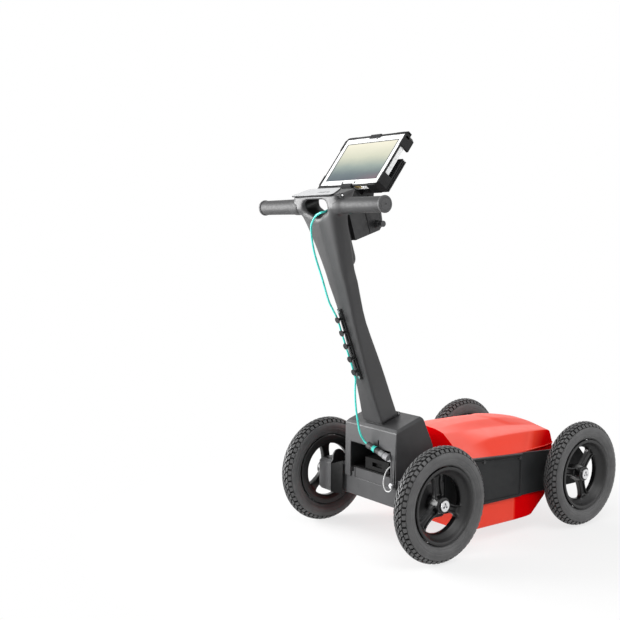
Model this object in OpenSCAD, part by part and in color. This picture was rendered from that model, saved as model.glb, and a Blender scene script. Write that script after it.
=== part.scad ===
// Ground penetrating radar cart: four wheels, a low antenna housing, a leaning column and a tablet.
// Millimetres, +X forward, +Y left, +Z up, standing on z = 0.

/* [Wheels] */
// Distance between the front and rear axles
wheelbase = 600; // [580:5:680]
// Outer diameter of a tyre
tyre_od = 318; // [306:2:330]
// Width of a tyre
tyre_w = 54; // [50:1:60]
// Diameter of the bead seat on a rim
bead_d = 203; // [196:1:208]
// Diameter of an axle bolt
axle_d = 12; // [10:1:14]
// Outer diameter of a wheel bearing
bearing_od = 28; // [26:1:32]
// Space between the chassis side and a tyre
wheel_gap = 16; // [14:1:24]

/* [Antenna housing] */
// Width across the side rails
chassis_w = 410; // [400:2:440]
// Length of the antenna tub at its rim
tub_len = 490; // [470:5:520]
// Height of the tub's floor above the ground
ground_gap = 42; // [36:1:50]
// Wall of the tub and of the hood
tub_wall = 4; // [3:0.5:5]
// Height of the ledge that the side rails stand on
ledge_z = 113; // [108:1:118]
// Height of the rim at the tub's rear end
sill_rear_z = 254; // [250:1:262]
// Height of the rim at the tub's front end
sill_front_z = 228; // [222:1:236]
// Height of the hood above the rim
hood_h = 80; // [70:1:90]
// Thickness of a side rail
rail_t = 12; // [10:0.5:14]

/* [Tower] */
// Length of the tower along the cart
tower_len = 145; // [140:1:155]
// Width of the tower
tower_w = 220; // [210:2:230]
// Height of the tower's top at its rear edge
tower_top_z = 339; // [335:1:350]
// Wall of the tower shell
tower_wall = 5; // [4:0.5:6]
// Width of the rear bay opening
bay_w = 172; // [168:1:176]
// Height of the top edge of the bay opening
bay_top_z = 275; // [273:1:280]
// Height of the deck that the tower stands on
deck_z = 200; // [198:0.5:202]

/* [Column] */
// Lean of the column towards the operator, in degrees
lean = 18.5; // [16:0.5:20]
// Length of the column from its foot to its head
column_len = 668; // [660:2:700]
// Width of the column's foot
foot_w = 87; // [80:1:92]
// Width of the column at its waist
waist_w = 62; // [58:1:70]
// Width of the column's head
head_w = 210; // [204:2:218]
// Depth of the column's foot
foot_depth = 64; // [60:1:68]
// Depth of the column's neck
neck_depth = 38; // [36:1:42]
// Wall of the column shell
column_wall = 4; // [3:0.5:5]

/* [Handlebar] */
// Length across both grips
bar_len = 524; // [500:4:560]
// Diameter of a grip at its inner end
grip_d = 42; // [40:1:44]
// Diameter of a grip at its outer end
grip_tip_d = 37; // [35:1:39]
// Diameter of a grip's end flange
cap_d = 44; // [42:1:47]
// Diameter of a handle tube
tube_d = 28; // [26:1:30]

/* [Display] */
// Tilt of the screen from the horizontal, in degrees
screen_tilt = 53.5; // [50:0.5:56]
// Width of the tablet
tablet_w = 246; // [240:1:256]
// Height of the tablet
tablet_h = 172; // [168:1:178]
// Thickness of the tablet
tablet_t = 19; // [17:0.5:21]
// Width of the screen
screen_w = 217; // [205:1:220]
// Height of the screen
screen_h = 136; // [128:1:140]

/* [Cable] */
// Diameter of the data cable
cable_d = 5.5; // [4.5:0.5:6]

/* [Hidden] */
$fn = 64;

// Shared clearances: cuts run past faces by over, moving faces stay apart by free, shafts run with slip
over = 1;
free = 0.5;
slip = 0.05;
seat = 0.1;

// Colours
red = [0.92, 0.2, 0.16];
grey = [0.27, 0.28, 0.29];
black = [0.09, 0.09, 0.1];
rubber = [0.16, 0.16, 0.17];
silver = [0.8, 0.8, 0.82];
white = [0.93, 0.93, 0.94];
teal = [0.25, 0.78, 0.7];
copper = [0.8, 0.5, 0.3];
board_green = [0.1, 0.4, 0.25];

// Wheel places
axle_z = tyre_od / 2;
front_x = wheelbase / 2;
rear_x = -wheelbase / 2;
rail_y = chassis_w / 2;
wheel_y = rail_y + wheel_gap + tyre_w / 2;

// Wheel details, measured outwards from the wheel's centre plane
hub_d = 46;
hub_side_gap = 11;
hub_in = wheel_y - rail_y - hub_side_gap;
hub_out = 14;
bearing_w = 8;
hub_bore_gap = 2.5;
hub_bore_d = axle_d + 2 * hub_bore_gap;
rim_flange_h = 4.5;
rim_half = 22;
rim_flange_t = 4;
rim_seat_half = 15;
rim_throat_in = 22;
rim_throat_d = bead_d - 2 * rim_throat_in;
rim_lip_in = 4;
rim_lip_d = bead_d - 2 * rim_lip_in;
rim_mid_in = 10;
rim_mid_d = bead_d - 2 * rim_mid_in;
rim_mid_z = 10;
rim_throat_z = -4;
rim_back_z = -18;
spoke_count = 3;
spoke_back = -17;
spoke_t = 9;
spoke_rim_w = 44;
spoke_rib_w = 5;
spoke_at_shares = [0, .16, .36, .6, .78, .9, 1];
spoke_wide_shares = [.72, .6, .53, .54, .62, .75, .95];
spoke_rib_h = 9;
spoke_lap = 3.5;
spoke_root_d = hub_d - 2 * spoke_lap;
spoke_tip_d = rim_throat_d + 2 * spoke_lap;
spoke_turns = [20, 98, 70, 48];
tyre_wall = 6;
groove_w = 3;
groove_deep = 4;
groove_side = 9;
bolt_head_d = 30;
bolt_head_t = 5;
bolt_socket_d = 12;
bolt_socket_deep = 3;

// Axle carriers
carrier_proud = 7;
carrier_out_y = rail_y + carrier_proud;
carrier_deep = 48;
carrier_in_y = rail_y - carrier_deep;
carrier_back = 52;
carrier_fore = 50;
carrier_half_h = 48;
carrier_wall = 5;
carrier_chamfer = 9;
boss_d = 20;
boss_gap = 0.3;
seam_back = 220;
seam_x = front_x - seam_back;
front_carrier_step = 4;
front_carrier_nose = 85;
front_carrier_chamfer = 34;
gusset_len = 110;
gusset_in = 34;
gusset_drop = 14;

// Encoder
encoder_disc_d = 68;
encoder_disc_t = 2;
encoder_disc_in = 24;
encoder_disc_y = rail_y - encoder_disc_in;
encoder_sleeve_t = 2.5;
encoder_slots = 24;
encoder_slot_w = 3;
encoder_slot_l = 6;
sensor_w = 18;
sensor_h = 16;
sensor_gap = 1.5;
sensor_reach = 8;
cover_ear_w = 44;
cover_ear_rise = 30;
cover_t = 6;

// Tower places
tower_over = 35;
tower_rear_x = rear_x - tower_over;
tower_front_x = tower_rear_x + tower_len;
tower_bevel_x = 8;
tower_bevel_z = 10;
tower_top_len = 87;
tower_nose_x = 9;
tower_nose_z = 10;
tower_brow_rise = 7;
tower_brow_z = bay_top_z + tower_brow_rise;
tower_brow_x = 4;
tower_knee_drop = 13;
tower_knee_z = bay_top_z - tower_knee_drop;
tower_edge_bevel = 8;
tab_w = (tower_w - bay_w) / 2;
tab_drop = 28;
tie_slot_w = 5;
tie_slot_h = 20;
tie_slot_y = -35;
tie_slot_gap = 4;
pin_in = 10;
pin_y = pin_in - tower_w / 2;
pin_drop = 16;

// Tub places
tub_gap = 25;
tub_rear_x = tower_front_x + tub_gap;
tub_front_x = tub_rear_x + tub_len;
tub_top_hw = rail_y - rail_t;
tub_low_in = 5;
tub_low_hw = rail_y - tub_low_in;
tub_rake = 15;
tub_flat_len = 275;
tub_ramp_len = 57;
tub_ramp_rise = 47;
tub_break_len = 90;
tub_nose_len = 25;
tub_nose_drop = 33;
tub_side_len = 219;
tub_front_hw = 190;
tub_seam = 1;
standoff_h = 6;
standoff_d = 10;

// Hood outline: shares along its length, of its half width and of its height
hood_proud = 7;
hood_len = tub_len + hood_proud;
hood_in = 4;
hood_hw = rail_y - hood_in;
hood_x_shares = [0, 0.151, 0.292, 0.453, 0.634, 0.805, 0.915, 0.976, 1];
hood_foot_shares = [0.995, 1, 1, 0.99, 0.92, 0.811, 0.711, 0.607, 0.517];
hood_low_y_shares = [0.746, 0.746, 0.746, 0.746, 0.731, 0.692, 0.647, 0.557, 0.478];
hood_low_z_shares = [0.25, 0.275, 0.481, 0.569, 0.606, 0.606, 0.55, 0.388, 0.175];
hood_high_y_shares = [0.398, 0.398, 0.398, 0.398, 0.398, 0.398, 0.418, 0.428, 0.378];
hood_high_z_shares = [0.613, 0.625, 0.663, 0.7, 0.713, 0.681, 0.619, 0.5, 0.275];
hood_ridge_shares = [0.713, 0.825, 0.925, 0.988, 1, 0.913, 0.8, 0.625, 0.413];
hood_rake_shares = [0.8, 0.45, 0.15, 0, 0, 0, 0, 0, 0];
hood_crown_share = 0.5;
hood_steps = 3;
hood_crown_rise_share = 0.75;

// Rear chassis
apron_t = 10;
apron_bottom_z = 119;
deck_t = 8;
apron_recess = 2;
apron_recess_h = 28;
apron_recess_w = 152;
apron_recess_y = -4;
apron_notch_w = 10;
apron_notch_h = 14;
tray_t = 4;
tray_wall = 3;
tray_side_h = 12;

// Inner radar pieces, laid out on the tub's flat floor
radar_margin = 17.5;
absorber_x = tub_flat_len - 2 * radar_margin;
absorber_y = 320;
absorber_t = 32;
board_gap = 14;
board_x = (absorber_x - board_gap) / 2;
board_y = 300;
board_t = 2;
board_pitch = board_x + board_gap;
bowtie_t = 0.5;
bowtie_root = 8;
module_margin = 15;
module_x = absorber_x - 2 * module_margin;
module_y = 190;
module_h = 52;
module_wall = 4;
module_fins = 9;
module_fin_t = 4;
module_fin_h = 10;
radar_x = tub_rear_x + tub_rake + tub_flat_len / 2;

// Battery
battery_x = 116;
battery_y = 102;
battery_h = 33.5;
battery_mid_y = -15;
battery_in = 9;
battery_pull_w = 40;
battery_pull_h = 12;
battery_pull_deep = 10;
battery_gap = 0.3;

// Column frame: local x forward from the rear face, local z up from the foot
leaf_t = 2.8;
leaf_gap = 0.4;
leaf_stack = 2 * leaf_t + leaf_gap;
top_rear_x = tower_rear_x + tower_bevel_x;
foot_x = top_rear_x - leaf_stack * sin(lean);
foot_z = tower_top_z + leaf_stack * cos(lean);
column_z_shares = [0, 0.09, 0.18, 0.285, 0.435, 0.53, 0.62, 0.675, 0.785, 0.889, 0.95, 1];
column_foot_shares = [1, 0.42, 0.06, 0, 0, 0, 0, 0, 0, 0, 0, 0];
column_head_shares = [0, 0, 0, 0, 0, 0.05, 0.14, 0.18, 0.355, 0.545, 0.75, 1];
column_depth_shares = [1, 1, 0.95, 0.69, 0.23, 0.17, 0.12, 0, 0, 0, 0, 0];
column_front_shares = [0, 0, 0, 0, 0, 0, 0, 0, 0, 0, 0.4, 1];
column_rear_shares = [0, 0, 0, 0, 0, 0, 0.2, 0.34, 0.56, 0.9, 1, 0.6];
column_bevel_shares = [0.08, 0.08, 0.1, 0.12, 0.16, 0.2, 0.25, 0.35, 0.5, 0.5, 0.5, 0.5];
column_steps = 2;
column_corner = 5;
corner_steps = 4;
head_front = 24;
head_rear = 13;
head_top_rear = head_rear * column_rear_shares[len(column_rear_shares) - 1];
column_hollow_share = 0.89;

// Head and handlebar
bar_v = 7;
bar_drop = 32.4;
bar_u = column_len - bar_drop;
barrel_d = 45;
hole_lobe_d = 34;
hole_low_d = 26;
hole_spread = 66;
hole_rise = 20;
hole_drop = 29;
hole_bite_share = 0.97;
tube_in = 57;
grip_lap = 2;
grip_in = head_w / 2 - grip_lap;
cap_t = 7;
grip_out = bar_len / 2 - cap_t;
plate_t = 2.5;
plate_edge = 1;
plate_depth = neck_depth + head_front + head_top_rear - 2 * plate_edge;
plate_mid_v = (neck_depth + head_front - head_top_rear) / 2;
plate_corner = 18;
plate_inset = 2;
plate_short = 22;
knob_d = 13;
knob_l = 9;
knob_v = -2;
knob_drop = 3.5;
knob_u = column_len - knob_drop;
knob_stem_d = 3.5;
knob_stem_l = 12;
knob_neck = 2;
knob_flutes = 9;
knob_flute_d = 3;

// Fold hinge at the front of the column's foot
hinge_d = 11;
hinge_pin_d = 6;
hinge_fore = 9;
hinge_v = foot_depth + hinge_fore;
hinge_len = 72;
knuckle_gap = 0.5;
leaf_v = 6;

// Pegboard on the rear face
peg_count = 5;
peg_pitch = 39;
peg_low_u = 161;
peg_d = 8;
peg_l = 13;
peg_disc_d = 18;
peg_disc_t = 3;
board_w = 16;
board_plate_t = 4;
board_over = 27;
board_mid_y = 9.5;
board_slant = 5;
board_slot_w = 5;
screw_head_d = 10;
screw_head_t = 3.5;
screw_d = 5;
screw_l = 8;
board_screw_in = 7;
board_len = (peg_count - 1) * peg_pitch + 2 * board_over;
board_mid_u = peg_low_u + (peg_count - 1) * peg_pitch / 2;
board_screw_u = board_len / 2 - board_screw_in;

// Display bracket in the column frame
bracket_w = 80;
bracket_foot_drop = 218;
bracket_foot_u = column_len - bracket_foot_drop;
bracket_tongue_w = 64;
bracket_tongue_t = 20;
bracket_low_drop = 147;
bracket_low_u = column_len - bracket_low_drop;
bracket_high_drop = 74;
bracket_high_u = column_len - bracket_high_drop;
bracket_gap = 7;
bracket_web_w = 50;
bracket_v = neck_depth + bracket_tongue_t + bracket_gap;
bracket_len = 108;
bracket_chin = 18;
bracket_chin_rise = 11;
bracket_brow = 53;
bracket_brow_drop = 28;
bracket_slot_v = 120;
bracket_slot_w = 25;
bracket_groove = 2;
pivot_v = 147;
pivot_drop = 126;
pivot_u = column_len - pivot_drop;
pivot_d = 10;
collar_d = 20;
collar_l = 18;
lever_hub_d = 17;
lever_hub_l = 13;
lever_arm_d = 5.5;
lever_arm_l = 38;
lever_ball_d = 9;
lever_splay = 8;
bolt_nut_d = 17;
bolt_nut_t = 7;

// Display in the screen frame: local x backwards from the tablet's face, local z up its face
screen_v = 112;
screen_drop = 5;
screen_u = column_len - screen_drop;
tablet_corner = 10;
glass_t = 1.4;
glass_sink = 0.4;
pack_w = 160;
pack_h = 120;
pack_t = 25;
pack_low = 30;
pack_draft = 8;
dock_w = 210;
dock_h = 102;
dock_t = 16;
dock_low = 20;
dock_lip_w = 44;
dock_lip_t = 8;
dock_lip_hook = 4;
dock_lip_up = 3;
dock_rib_w = 6;
dock_rib_deep = 3;
dock_side_groove = 2.4;
dock_side_deep = 5;
latch_w = 28;
latch_t = 9;
latch_in = 1;
latch_low = 66;
latch_hook_t = 6;
latch_hook_w = 44;
latch_front = 3;
latch_front_h = 7;
latch_gap = 0.3;
guard_leg = 40;
guard_out = 5;
guard_lap = 2;
guard_deep = 14;
guard_chamfer = 11;
guard_rim = 3;
guard_rim_t = 4;
arm_w = 24;
arm_t = 20;
arm_eye_d = 30;
arm_foot_low = 16;
arm_foot_h = 46;
arm_foot_w = 40;
arm_foot_t = 8;
key_d = 6;
key_gap = 0.3;
key_rise = 0.6;
key_in = 1.6;
key_hole = 2.8;
key_y = 26;
key_z = 9;

// Lock pin at the foot of the right tower leg
lock_d = 8;
lock_l = 24;
lock_head_d = 14;
lock_head_l = 7;
lock_z = deck_z - pin_drop;
lock_ring_d = 15;
lock_ring_t = 2.5;

// Data cable plug and socket at the bay
plug_out = 15;
plug_near_y = -8;
plug_rise = 9;
plug_from = [tower_rear_x - plug_out, plug_near_y, bay_top_z + plug_rise];
plug_far_out = 6;
plug_far_y = -68;
plug_drop = 12;
plug_to = [tower_rear_x - plug_far_out, plug_far_y, bay_top_z - plug_drop];
plug_d = 17;
plug_collar_d = 19;
plug_collar_l = 14;
plug_ring_d = 20;
plug_ring_l = 4;
plug_gap = 3;
socket_d = 20;
socket_l = 15;
socket_plate_t = 4;
socket_plate_h = 18;

// Cord routes, chosen by hand. Head points are forward, left and down from the column's head.
lanyard_d = 3.5;
head_route = [
    [76, -32, 74], [75, -33, 61], [66, -33, 49], [49, -33, 43], [28, -34, 42], [8, -35, 42], [-10, -36, 43],
    [-18, -36, 42], [-21.5, -27, 44], [-22.5, -13, 49], [-23.5, 0, 58], [-28, 13, 76], [-31, 20, 106],
    [-32, 24, 143], [-31, 25, 174], [-29, 23, 225]
];
// Waist points are forward, left and up from the column's foot
waist_route = [[-25, 25, 378], [-18, 25, 346]];
cable_v = -12;
cable_tail = 15;
peg_gap = 0.55;
peg_side = (peg_d + cable_d) / 2 + peg_gap;
peg_route = [
    for (k = [peg_count - 1 : -1 : 0])
        let (rise = (k - (peg_count - 1) / 2) * peg_pitch)
            [cable_v, board_mid_y + peg_side + rise * sin(board_slant), board_mid_u + rise * cos(board_slant)]
];
cable_end = peg_route[peg_count - 1] - [0, 0, cable_tail];
upper_start = [for (p = head_route) [p.x, p.y, column_len - p.z]];
upper_route = concat(upper_start, waist_route, peg_route, [cable_end]);
// Fall points are from the plug's mouth
fall_route = [
    [-35, 17.5, 178], [-35.5, 17.5, 161], [-35, 17.5, 142], [-32, 17.5, 110], [-27.5, 17.5, 84],
    [-21.5, 17.5, 56], [-14.5, 16.5, 30], [-6, 14, 14], [-2.5, 10, 6.5], [0, 0, 0]
];
lower_route = [for (p = fall_route) plug_from + p];
// Lanyard points are forward and left from the lock pin, and shares of the rise from it to the socket plate
lanyard_rise = plug_to.z - socket_plate_h - lock_z;
lanyard_xys = [
    [7.5, 5], [7.5, 6], [7.5, 13], [2, 20], [-5, 24], [-10, 26], [-13, 26],
    [-14, 22], [-14, 13], [-13.5, 2], [-12.5, -5.5], [-12.3, -5], [-12.3, 1]
];
lanyard_z_shares = [1, 0.9, 0.82, 0.74, 0.57, 0.33, 0.1, -0.13, -0.26, -0.26, -0.16, -0.03, 0.016];
lanyard_route = [
    for (i = [0 : len(lanyard_xys) - 1])
        let (p = lanyard_xys[i])
            [tower_rear_x + p.x, pin_y + p.y, lock_z + lanyard_rise * lanyard_z_shares[i]]
];
cord_steps = 3;
cord_sides = 8;
cord_twist_shares = [0.5, 1, 0.5];

// The frame's origin: under the middle of the whole cart's length
bar_x = foot_x + bar_v * cos(lean) - bar_u * sin(lean);
cable_rear_x = min([for (p = smooth_route(upper_route, cord_steps)) column_point(p).x]) - cable_d / 2;
frame_x = -(front_x + tyre_od / 2 + min(bar_x - cap_d / 2, cable_rear_x)) / 2;

// Places
module place() {
    translate([frame_x, 0, 0]) children();
}

module in_column() {
    place() translate([foot_x, 0, foot_z]) rotate([0, -lean, 0]) children();
}

module in_screen() {
    in_column() translate([screen_v, 0, screen_u]) rotate([0, lean + 90 - screen_tilt, 0]) children();
}

module at_wheel(fore, side) {
    place() translate([fore * wheelbase / 2, side * wheel_y, axle_z]) rotate([-side * 90, 0, 0]) children();
}

// Extrudes an outline of X and Z across the cart, centred
module across(w) {
    rotate([90, 0, 0]) linear_extrude(w, center = true) children();
}

// Extrudes an outline of Y and Z forwards from a place on X
module forwards(from, l) {
    translate([from, 0, 0]) rotate([90, 0, 90]) linear_extrude(l) children();
}

// Stands children from one point towards another
module along(p, q) {
    d = q - p;
    translate(p) rotate([0, acos(d.z / norm(d)), atan2(d.y, d.x)]) children();
}

module box(low, high) {
    translate(low) cube(high - low);
}

module mirror_y(side) {
    if (side > 0) children();
    else mirror([0, 1, 0]) children();
}

module round_rect(w, h, r) {
    square([w - 2 * r, h], center = true);
    square([w, h - 2 * r], center = true);
    for (x = [-1, 1], y = [-1, 1]) translate([x * (w / 2 - r), y * (h / 2 - r)]) circle(r);
}

// Closed skin over a list of rings with the same number of points
module loft(rings) {
    n = len(rings[0]);
    last = (len(rings) - 1) * n;
    points = [for (ring = rings) each ring];
    sides = [
        for (k = [0 : len(rings) - 2], i = [0 : n - 1])
            let (j = (i + 1) % n, a = k * n)
                each [[a + i, a + n + j, a + j], [a + i, a + n + i, a + n + j]]
    ];
    polyhedron(points, concat([[for (i = [0 : n - 1]) i]], sides, [[for (i = [n - 1 : -1 : 0]) last + i]]));
}

// Smooth points through a route, and a round tube along them
function smooth(p, i, t) =
    let (a = p[max(i - 1, 0)], b = p[i], c = p[i + 1], d = p[min(i + 2, len(p) - 1)])
        (2 * b + (c - a) * t + (2 * a - 5 * b + 4 * c - d) * t * t + (3 * b - a - 3 * c + d) * t * t * t) / 2;
function smooth_route(p, steps) = concat(
    [for (i = [0 : len(p) - 2], k = [0 : steps - 1]) smooth(p, i, k / steps)],
    [p[len(p) - 1]]
);
function unit(v) = v / norm(v);
function cord_ring(p, i, r) =
    let (
        t = unit(p[min(i + 1, len(p) - 1)] - p[max(i - 1, 0)]),
        a = unit(cross(t, cord_twist_shares)),
        b = cross(t, a)
    )
    [for (k = [0 : cord_sides - 1]) p[i] + r * (cos(360 * k / cord_sides) * a + sin(360 * k / cord_sides) * b)];

module cord(route, d) {
    p = smooth_route(route, cord_steps);
    loft([for (i = [0 : len(p) - 1]) cord_ring(p, i, d / 2)]);
}

module screw(head_d, head_t, d, l) {
    cylinder(d = head_d, h = head_t);
    translate([0, 0, -l]) cylinder(d = d, h = l + over);
}

// Wheels, with local z outwards
module tyre_outline() {
    crown = tyre_od / 2;
    heel = bead_d / 2 + seat;
    mid = (crown + heel) / 2;
    tall = (crown - heel) / 2;
    half = tyre_w / 2;
    angles = [-150 : 15 : 150];
    outer = [for (a = angles) [mid + tall * cos(a), half * sin(a)]];
    inner = [for (a = angles) [mid + (tall - tyre_wall) * cos(a), (half - tyre_wall) * sin(a)]];
    flip = [for (i = [len(inner) - 1 : -1 : 0]) inner[i]];
    foot = rim_seat_half - seat;
    difference() {
        union() {
            polygon(concat([[heel, -foot]], outer, [[heel, foot], [heel + tyre_wall, foot - tyre_wall]],
                flip, [[heel + tyre_wall, tyre_wall - foot]]));
        }
        for (z = [-groove_side, 0, groove_side])
            translate([crown - groove_deep, z - groove_w / 2]) square([groove_deep + over, groove_w]);
    }
}

module tyre() {
    color(rubber) rotate_extrude() tyre_outline();
}

module rim_ring() {
    seat_r = bead_d / 2;
    flange_r = seat_r + rim_flange_h;
    rotate_extrude() polygon([
        [rim_throat_d / 2, rim_back_z],
        [rim_mid_d / 2, -rim_half],
        [flange_r, -rim_half],
        [flange_r, rim_flange_t - rim_half],
        [seat_r, -rim_seat_half],
        [seat_r, rim_seat_half],
        [flange_r, rim_half - rim_flange_t],
        [flange_r, rim_half],
        [rim_lip_d / 2, rim_half],
        [rim_mid_d / 2, rim_mid_z],
        [rim_throat_d / 2, rim_throat_z]
    ]);
}

function spoke_side(s, cut) = [
    for (i = [0 : len(spoke_at_shares) - 1]) [
        (spoke_root_d + (spoke_tip_d - spoke_root_d) * spoke_at_shares[i]) / 2,
        s * (spoke_rim_w / 2 * spoke_wide_shares[i] - cut)
    ]
];

function turned_back(list) = [for (i = [len(list) - 1 : -1 : 0]) list[i]];

module spoke() {
    translate([0, 0, spoke_back]) linear_extrude(spoke_t)
        polygon(concat(spoke_side(-1, 0), turned_back(spoke_side(1, 0))));
    for (s = [-1, 1]) translate([0, 0, spoke_back]) linear_extrude(spoke_t + spoke_rib_h)
        polygon(concat(spoke_side(s, 0), turned_back(spoke_side(s, spoke_rib_w))));
}

module rim(phase) {
    color(black) difference() {
        union() {
            rim_ring();
            translate([0, 0, -hub_in]) cylinder(d = hub_d, h = hub_in + hub_out);
            for (k = [0 : spoke_count - 1]) rotate(phase + 360 * k / spoke_count) spoke();
        }
        translate([0, 0, -hub_in - over]) cylinder(d = hub_bore_d, h = hub_in + hub_out + 2 * over);
        translate([0, 0, -hub_in - over]) cylinder(d = bearing_od, h = bearing_w + over);
        translate([0, 0, hub_out - bearing_w]) cylinder(d = bearing_od, h = bearing_w + over);
    }
}

module bearings() {
    color(silver) for (z = [-hub_in, hub_out - bearing_w]) translate([0, 0, z]) difference() {
        cylinder(d = bearing_od, h = bearing_w);
        translate([0, 0, -over]) cylinder(d = axle_d + 2 * slip, h = bearing_w + 2 * over);
    }
}

module axle_bolt(inner_y) {
    difference() {
        union() {
            translate([0, 0, inner_y - wheel_y]) cylinder(d = axle_d, h = wheel_y - inner_y + hub_out + free);
            translate([0, 0, hub_out + free]) cylinder(d = bolt_head_d, h = bolt_head_t);
        }
        translate([0, 0, hub_out + free + bolt_head_t - bolt_socket_deep])
            cylinder(d = bolt_socket_d, h = bolt_socket_deep + over, $fn = 6);
    }
}

module wheel_axles() {
    color(silver) for (side = [-1, 1]) {
        at_wheel(-1, side) axle_bolt(carrier_in_y);
        at_wheel(1, side) axle_bolt(tub_top_hw);
    }
}

module rear_left_tyre() { at_wheel(-1, 1) tyre(); }
module rear_right_tyre() { at_wheel(-1, -1) tyre(); }
module front_left_tyre() { at_wheel(1, 1) tyre(); }
module front_right_tyre() { at_wheel(1, -1) tyre(); }
module rear_left_rim() { at_wheel(-1, 1) rim(spoke_turns[0]); }
module rear_right_rim() { at_wheel(-1, -1) rim(spoke_turns[1]); }
module front_left_rim() { at_wheel(1, 1) rim(spoke_turns[2]); }
module front_right_rim() { at_wheel(1, -1) rim(spoke_turns[3]); }
module rear_left_bearings() { at_wheel(-1, 1) bearings(); }
module rear_right_bearings() { at_wheel(-1, -1) bearings(); }
module front_left_bearings() { at_wheel(1, 1) bearings(); }
module front_right_bearings() { at_wheel(1, -1) bearings(); }

// Rear axle carriers: the left one holds the distance encoder
module carrier_outline() {
    low_x = rear_x - carrier_back;
    high_x = rear_x + carrier_fore;
    low_z = axle_z - carrier_half_h;
    high_z = axle_z + carrier_half_h;
    polygon([
        [low_x + carrier_chamfer, low_z], [high_x, low_z], [high_x, high_z],
        [low_x + carrier_chamfer, high_z], [low_x, high_z - carrier_chamfer], [low_x, low_z + carrier_chamfer]
    ]);
}

module carrier_cavity(from_y, to_y) {
    box(
        [rear_x - carrier_back + carrier_wall, from_y, axle_z - carrier_half_h + carrier_wall],
        [rear_x + carrier_fore - carrier_wall, to_y, axle_z + carrier_half_h - carrier_wall]
    );
}

module y_rod(at_x, d, from_y, to_y) {
    translate([at_x, from_y, axle_z]) rotate([-90, 0, 0]) cylinder(d = d, h = to_y - from_y);
}

module encoder_housing() {
    inner_y = carrier_in_y + cover_t;
    color(grey) place() difference() {
        translate([0, (inner_y + carrier_out_y) / 2, 0]) across(carrier_out_y - inner_y) carrier_outline();
        carrier_cavity(inner_y - over, carrier_out_y - carrier_wall);
        y_rod(rear_x, boss_d + 4 * encoder_sleeve_t, inner_y, carrier_out_y + over);
    }
}

module encoder_cover() {
    ear_x = rear_x - carrier_back + cover_ear_w / 2 + carrier_chamfer;
    ear_z = axle_z + carrier_half_h + cover_ear_rise - cover_ear_w / 2;
    color(grey) place() difference() {
        union() {
            translate([0, carrier_in_y + cover_t / 2, 0]) across(cover_t) {
                carrier_outline();
                translate([ear_x, ear_z]) circle(d = cover_ear_w);
                translate([ear_x - cover_ear_w / 2, axle_z]) square([cover_ear_w, ear_z - axle_z]);
            }
            y_rod(rear_x, boss_d, carrier_in_y, wheel_y - hub_in - boss_gap);
        }
        y_rod(rear_x, axle_d, carrier_in_y - over, wheel_y);
    }
}

module encoder_sensor() {
    disc_mid = encoder_disc_y;
    low_z = axle_z + encoder_disc_d / 2 - sensor_reach;
    high_z = axle_z + carrier_half_h - carrier_wall;
    slot = encoder_disc_t / 2 + sensor_gap;
    color(black) place() difference() {
        box([rear_x - sensor_w / 2, carrier_in_y + cover_t, low_z],
            [rear_x + sensor_w / 2, disc_mid + slot + sensor_reach, high_z]);
        box([rear_x - sensor_w, disc_mid - slot, low_z - over],
            [rear_x + sensor_w, disc_mid + slot, axle_z + encoder_disc_d / 2 + sensor_gap]);
    }
}

module encoder_disc() {
    inner_d = boss_d + encoder_sleeve_t;
    sleeve_d = inner_d + 2 * encoder_sleeve_t;
    disc_z = encoder_disc_y - wheel_y;
    color(black) at_wheel(-1, 1) difference() {
        union() {
            translate([0, 0, disc_z - encoder_disc_t / 2]) cylinder(d = encoder_disc_d, h = encoder_disc_t);
            translate([0, 0, disc_z]) cylinder(d = sleeve_d, h = -hub_in - disc_z);
        }
        translate([0, 0, disc_z - encoder_disc_t]) cylinder(d = inner_d, h = -disc_z);
        for (k = [0 : encoder_slots - 1]) rotate(360 * k / encoder_slots)
            translate([encoder_disc_d / 2 - 1.5 * encoder_slot_l, -encoder_slot_w / 2, disc_z - encoder_disc_t])
                cube([encoder_slot_l, encoder_slot_w, 2 * encoder_disc_t]);
    }
}

module right_axle_carrier() {
    color(grey) place() difference() {
        union() {
            difference() {
                translate([0, -(carrier_in_y + carrier_out_y) / 2, 0])
                    across(carrier_out_y - carrier_in_y) carrier_outline();
                carrier_cavity(carrier_wall - carrier_out_y, over - carrier_in_y);
            }
            y_rod(rear_x, boss_d, hub_in + boss_gap - wheel_y, -carrier_in_y);
        }
        y_rod(rear_x, axle_d, -wheel_y, over - carrier_in_y);
    }
}

// Side rails stand on the tub's ledge, and the front carriers go on from them
function sill_z(x) = sill_rear_z + (sill_front_z - sill_rear_z) * (x - tub_rear_x) / tub_len;
rail_rear_x = rear_x + carrier_fore;
rail_nose_x = front_x + front_carrier_nose;
seam_screw_in = 12;
rail_screw_in = 20;
rail_screw_xs = [seam_x - seam_screw_in, (rail_rear_x + seam_x) / 2, rail_rear_x + rail_screw_in];
rail_screw_drop = 13;
rail_lip = 3;
rail_lip_h = 5;
rail_tab_l = 46;
rail_tab_h = 12;

module side_rail(side) {
    color(black) place() mirror_y(side) difference() {
        union() {
            translate([0, rail_y - rail_t / 2, 0]) across(rail_t) polygon([
                [rail_rear_x, ledge_z], [seam_x, ledge_z],
                [seam_x, sill_z(seam_x)], [rail_rear_x, sill_z(rail_rear_x)]
            ]);
            translate([0, rail_y + rail_lip / 2, 0]) across(rail_lip) polygon([
                [rail_rear_x, sill_z(rail_rear_x)], [seam_x, sill_z(seam_x)],
                [seam_x - rail_tab_l, sill_z(seam_x - rail_tab_l) - rail_lip_h],
                [rail_rear_x, sill_z(rail_rear_x) - rail_lip_h]
            ]);
        }
        for (x = rail_screw_xs) translate([x, rail_y - rail_t - over, sill_z(x) - rail_screw_drop])
            rotate([-90, 0, 0]) cylinder(d = screw_d, h = rail_t + 2 * over);
    }
}
module left_side_rail() { side_rail(1); }
module right_side_rail() { side_rail(-1); }

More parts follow.
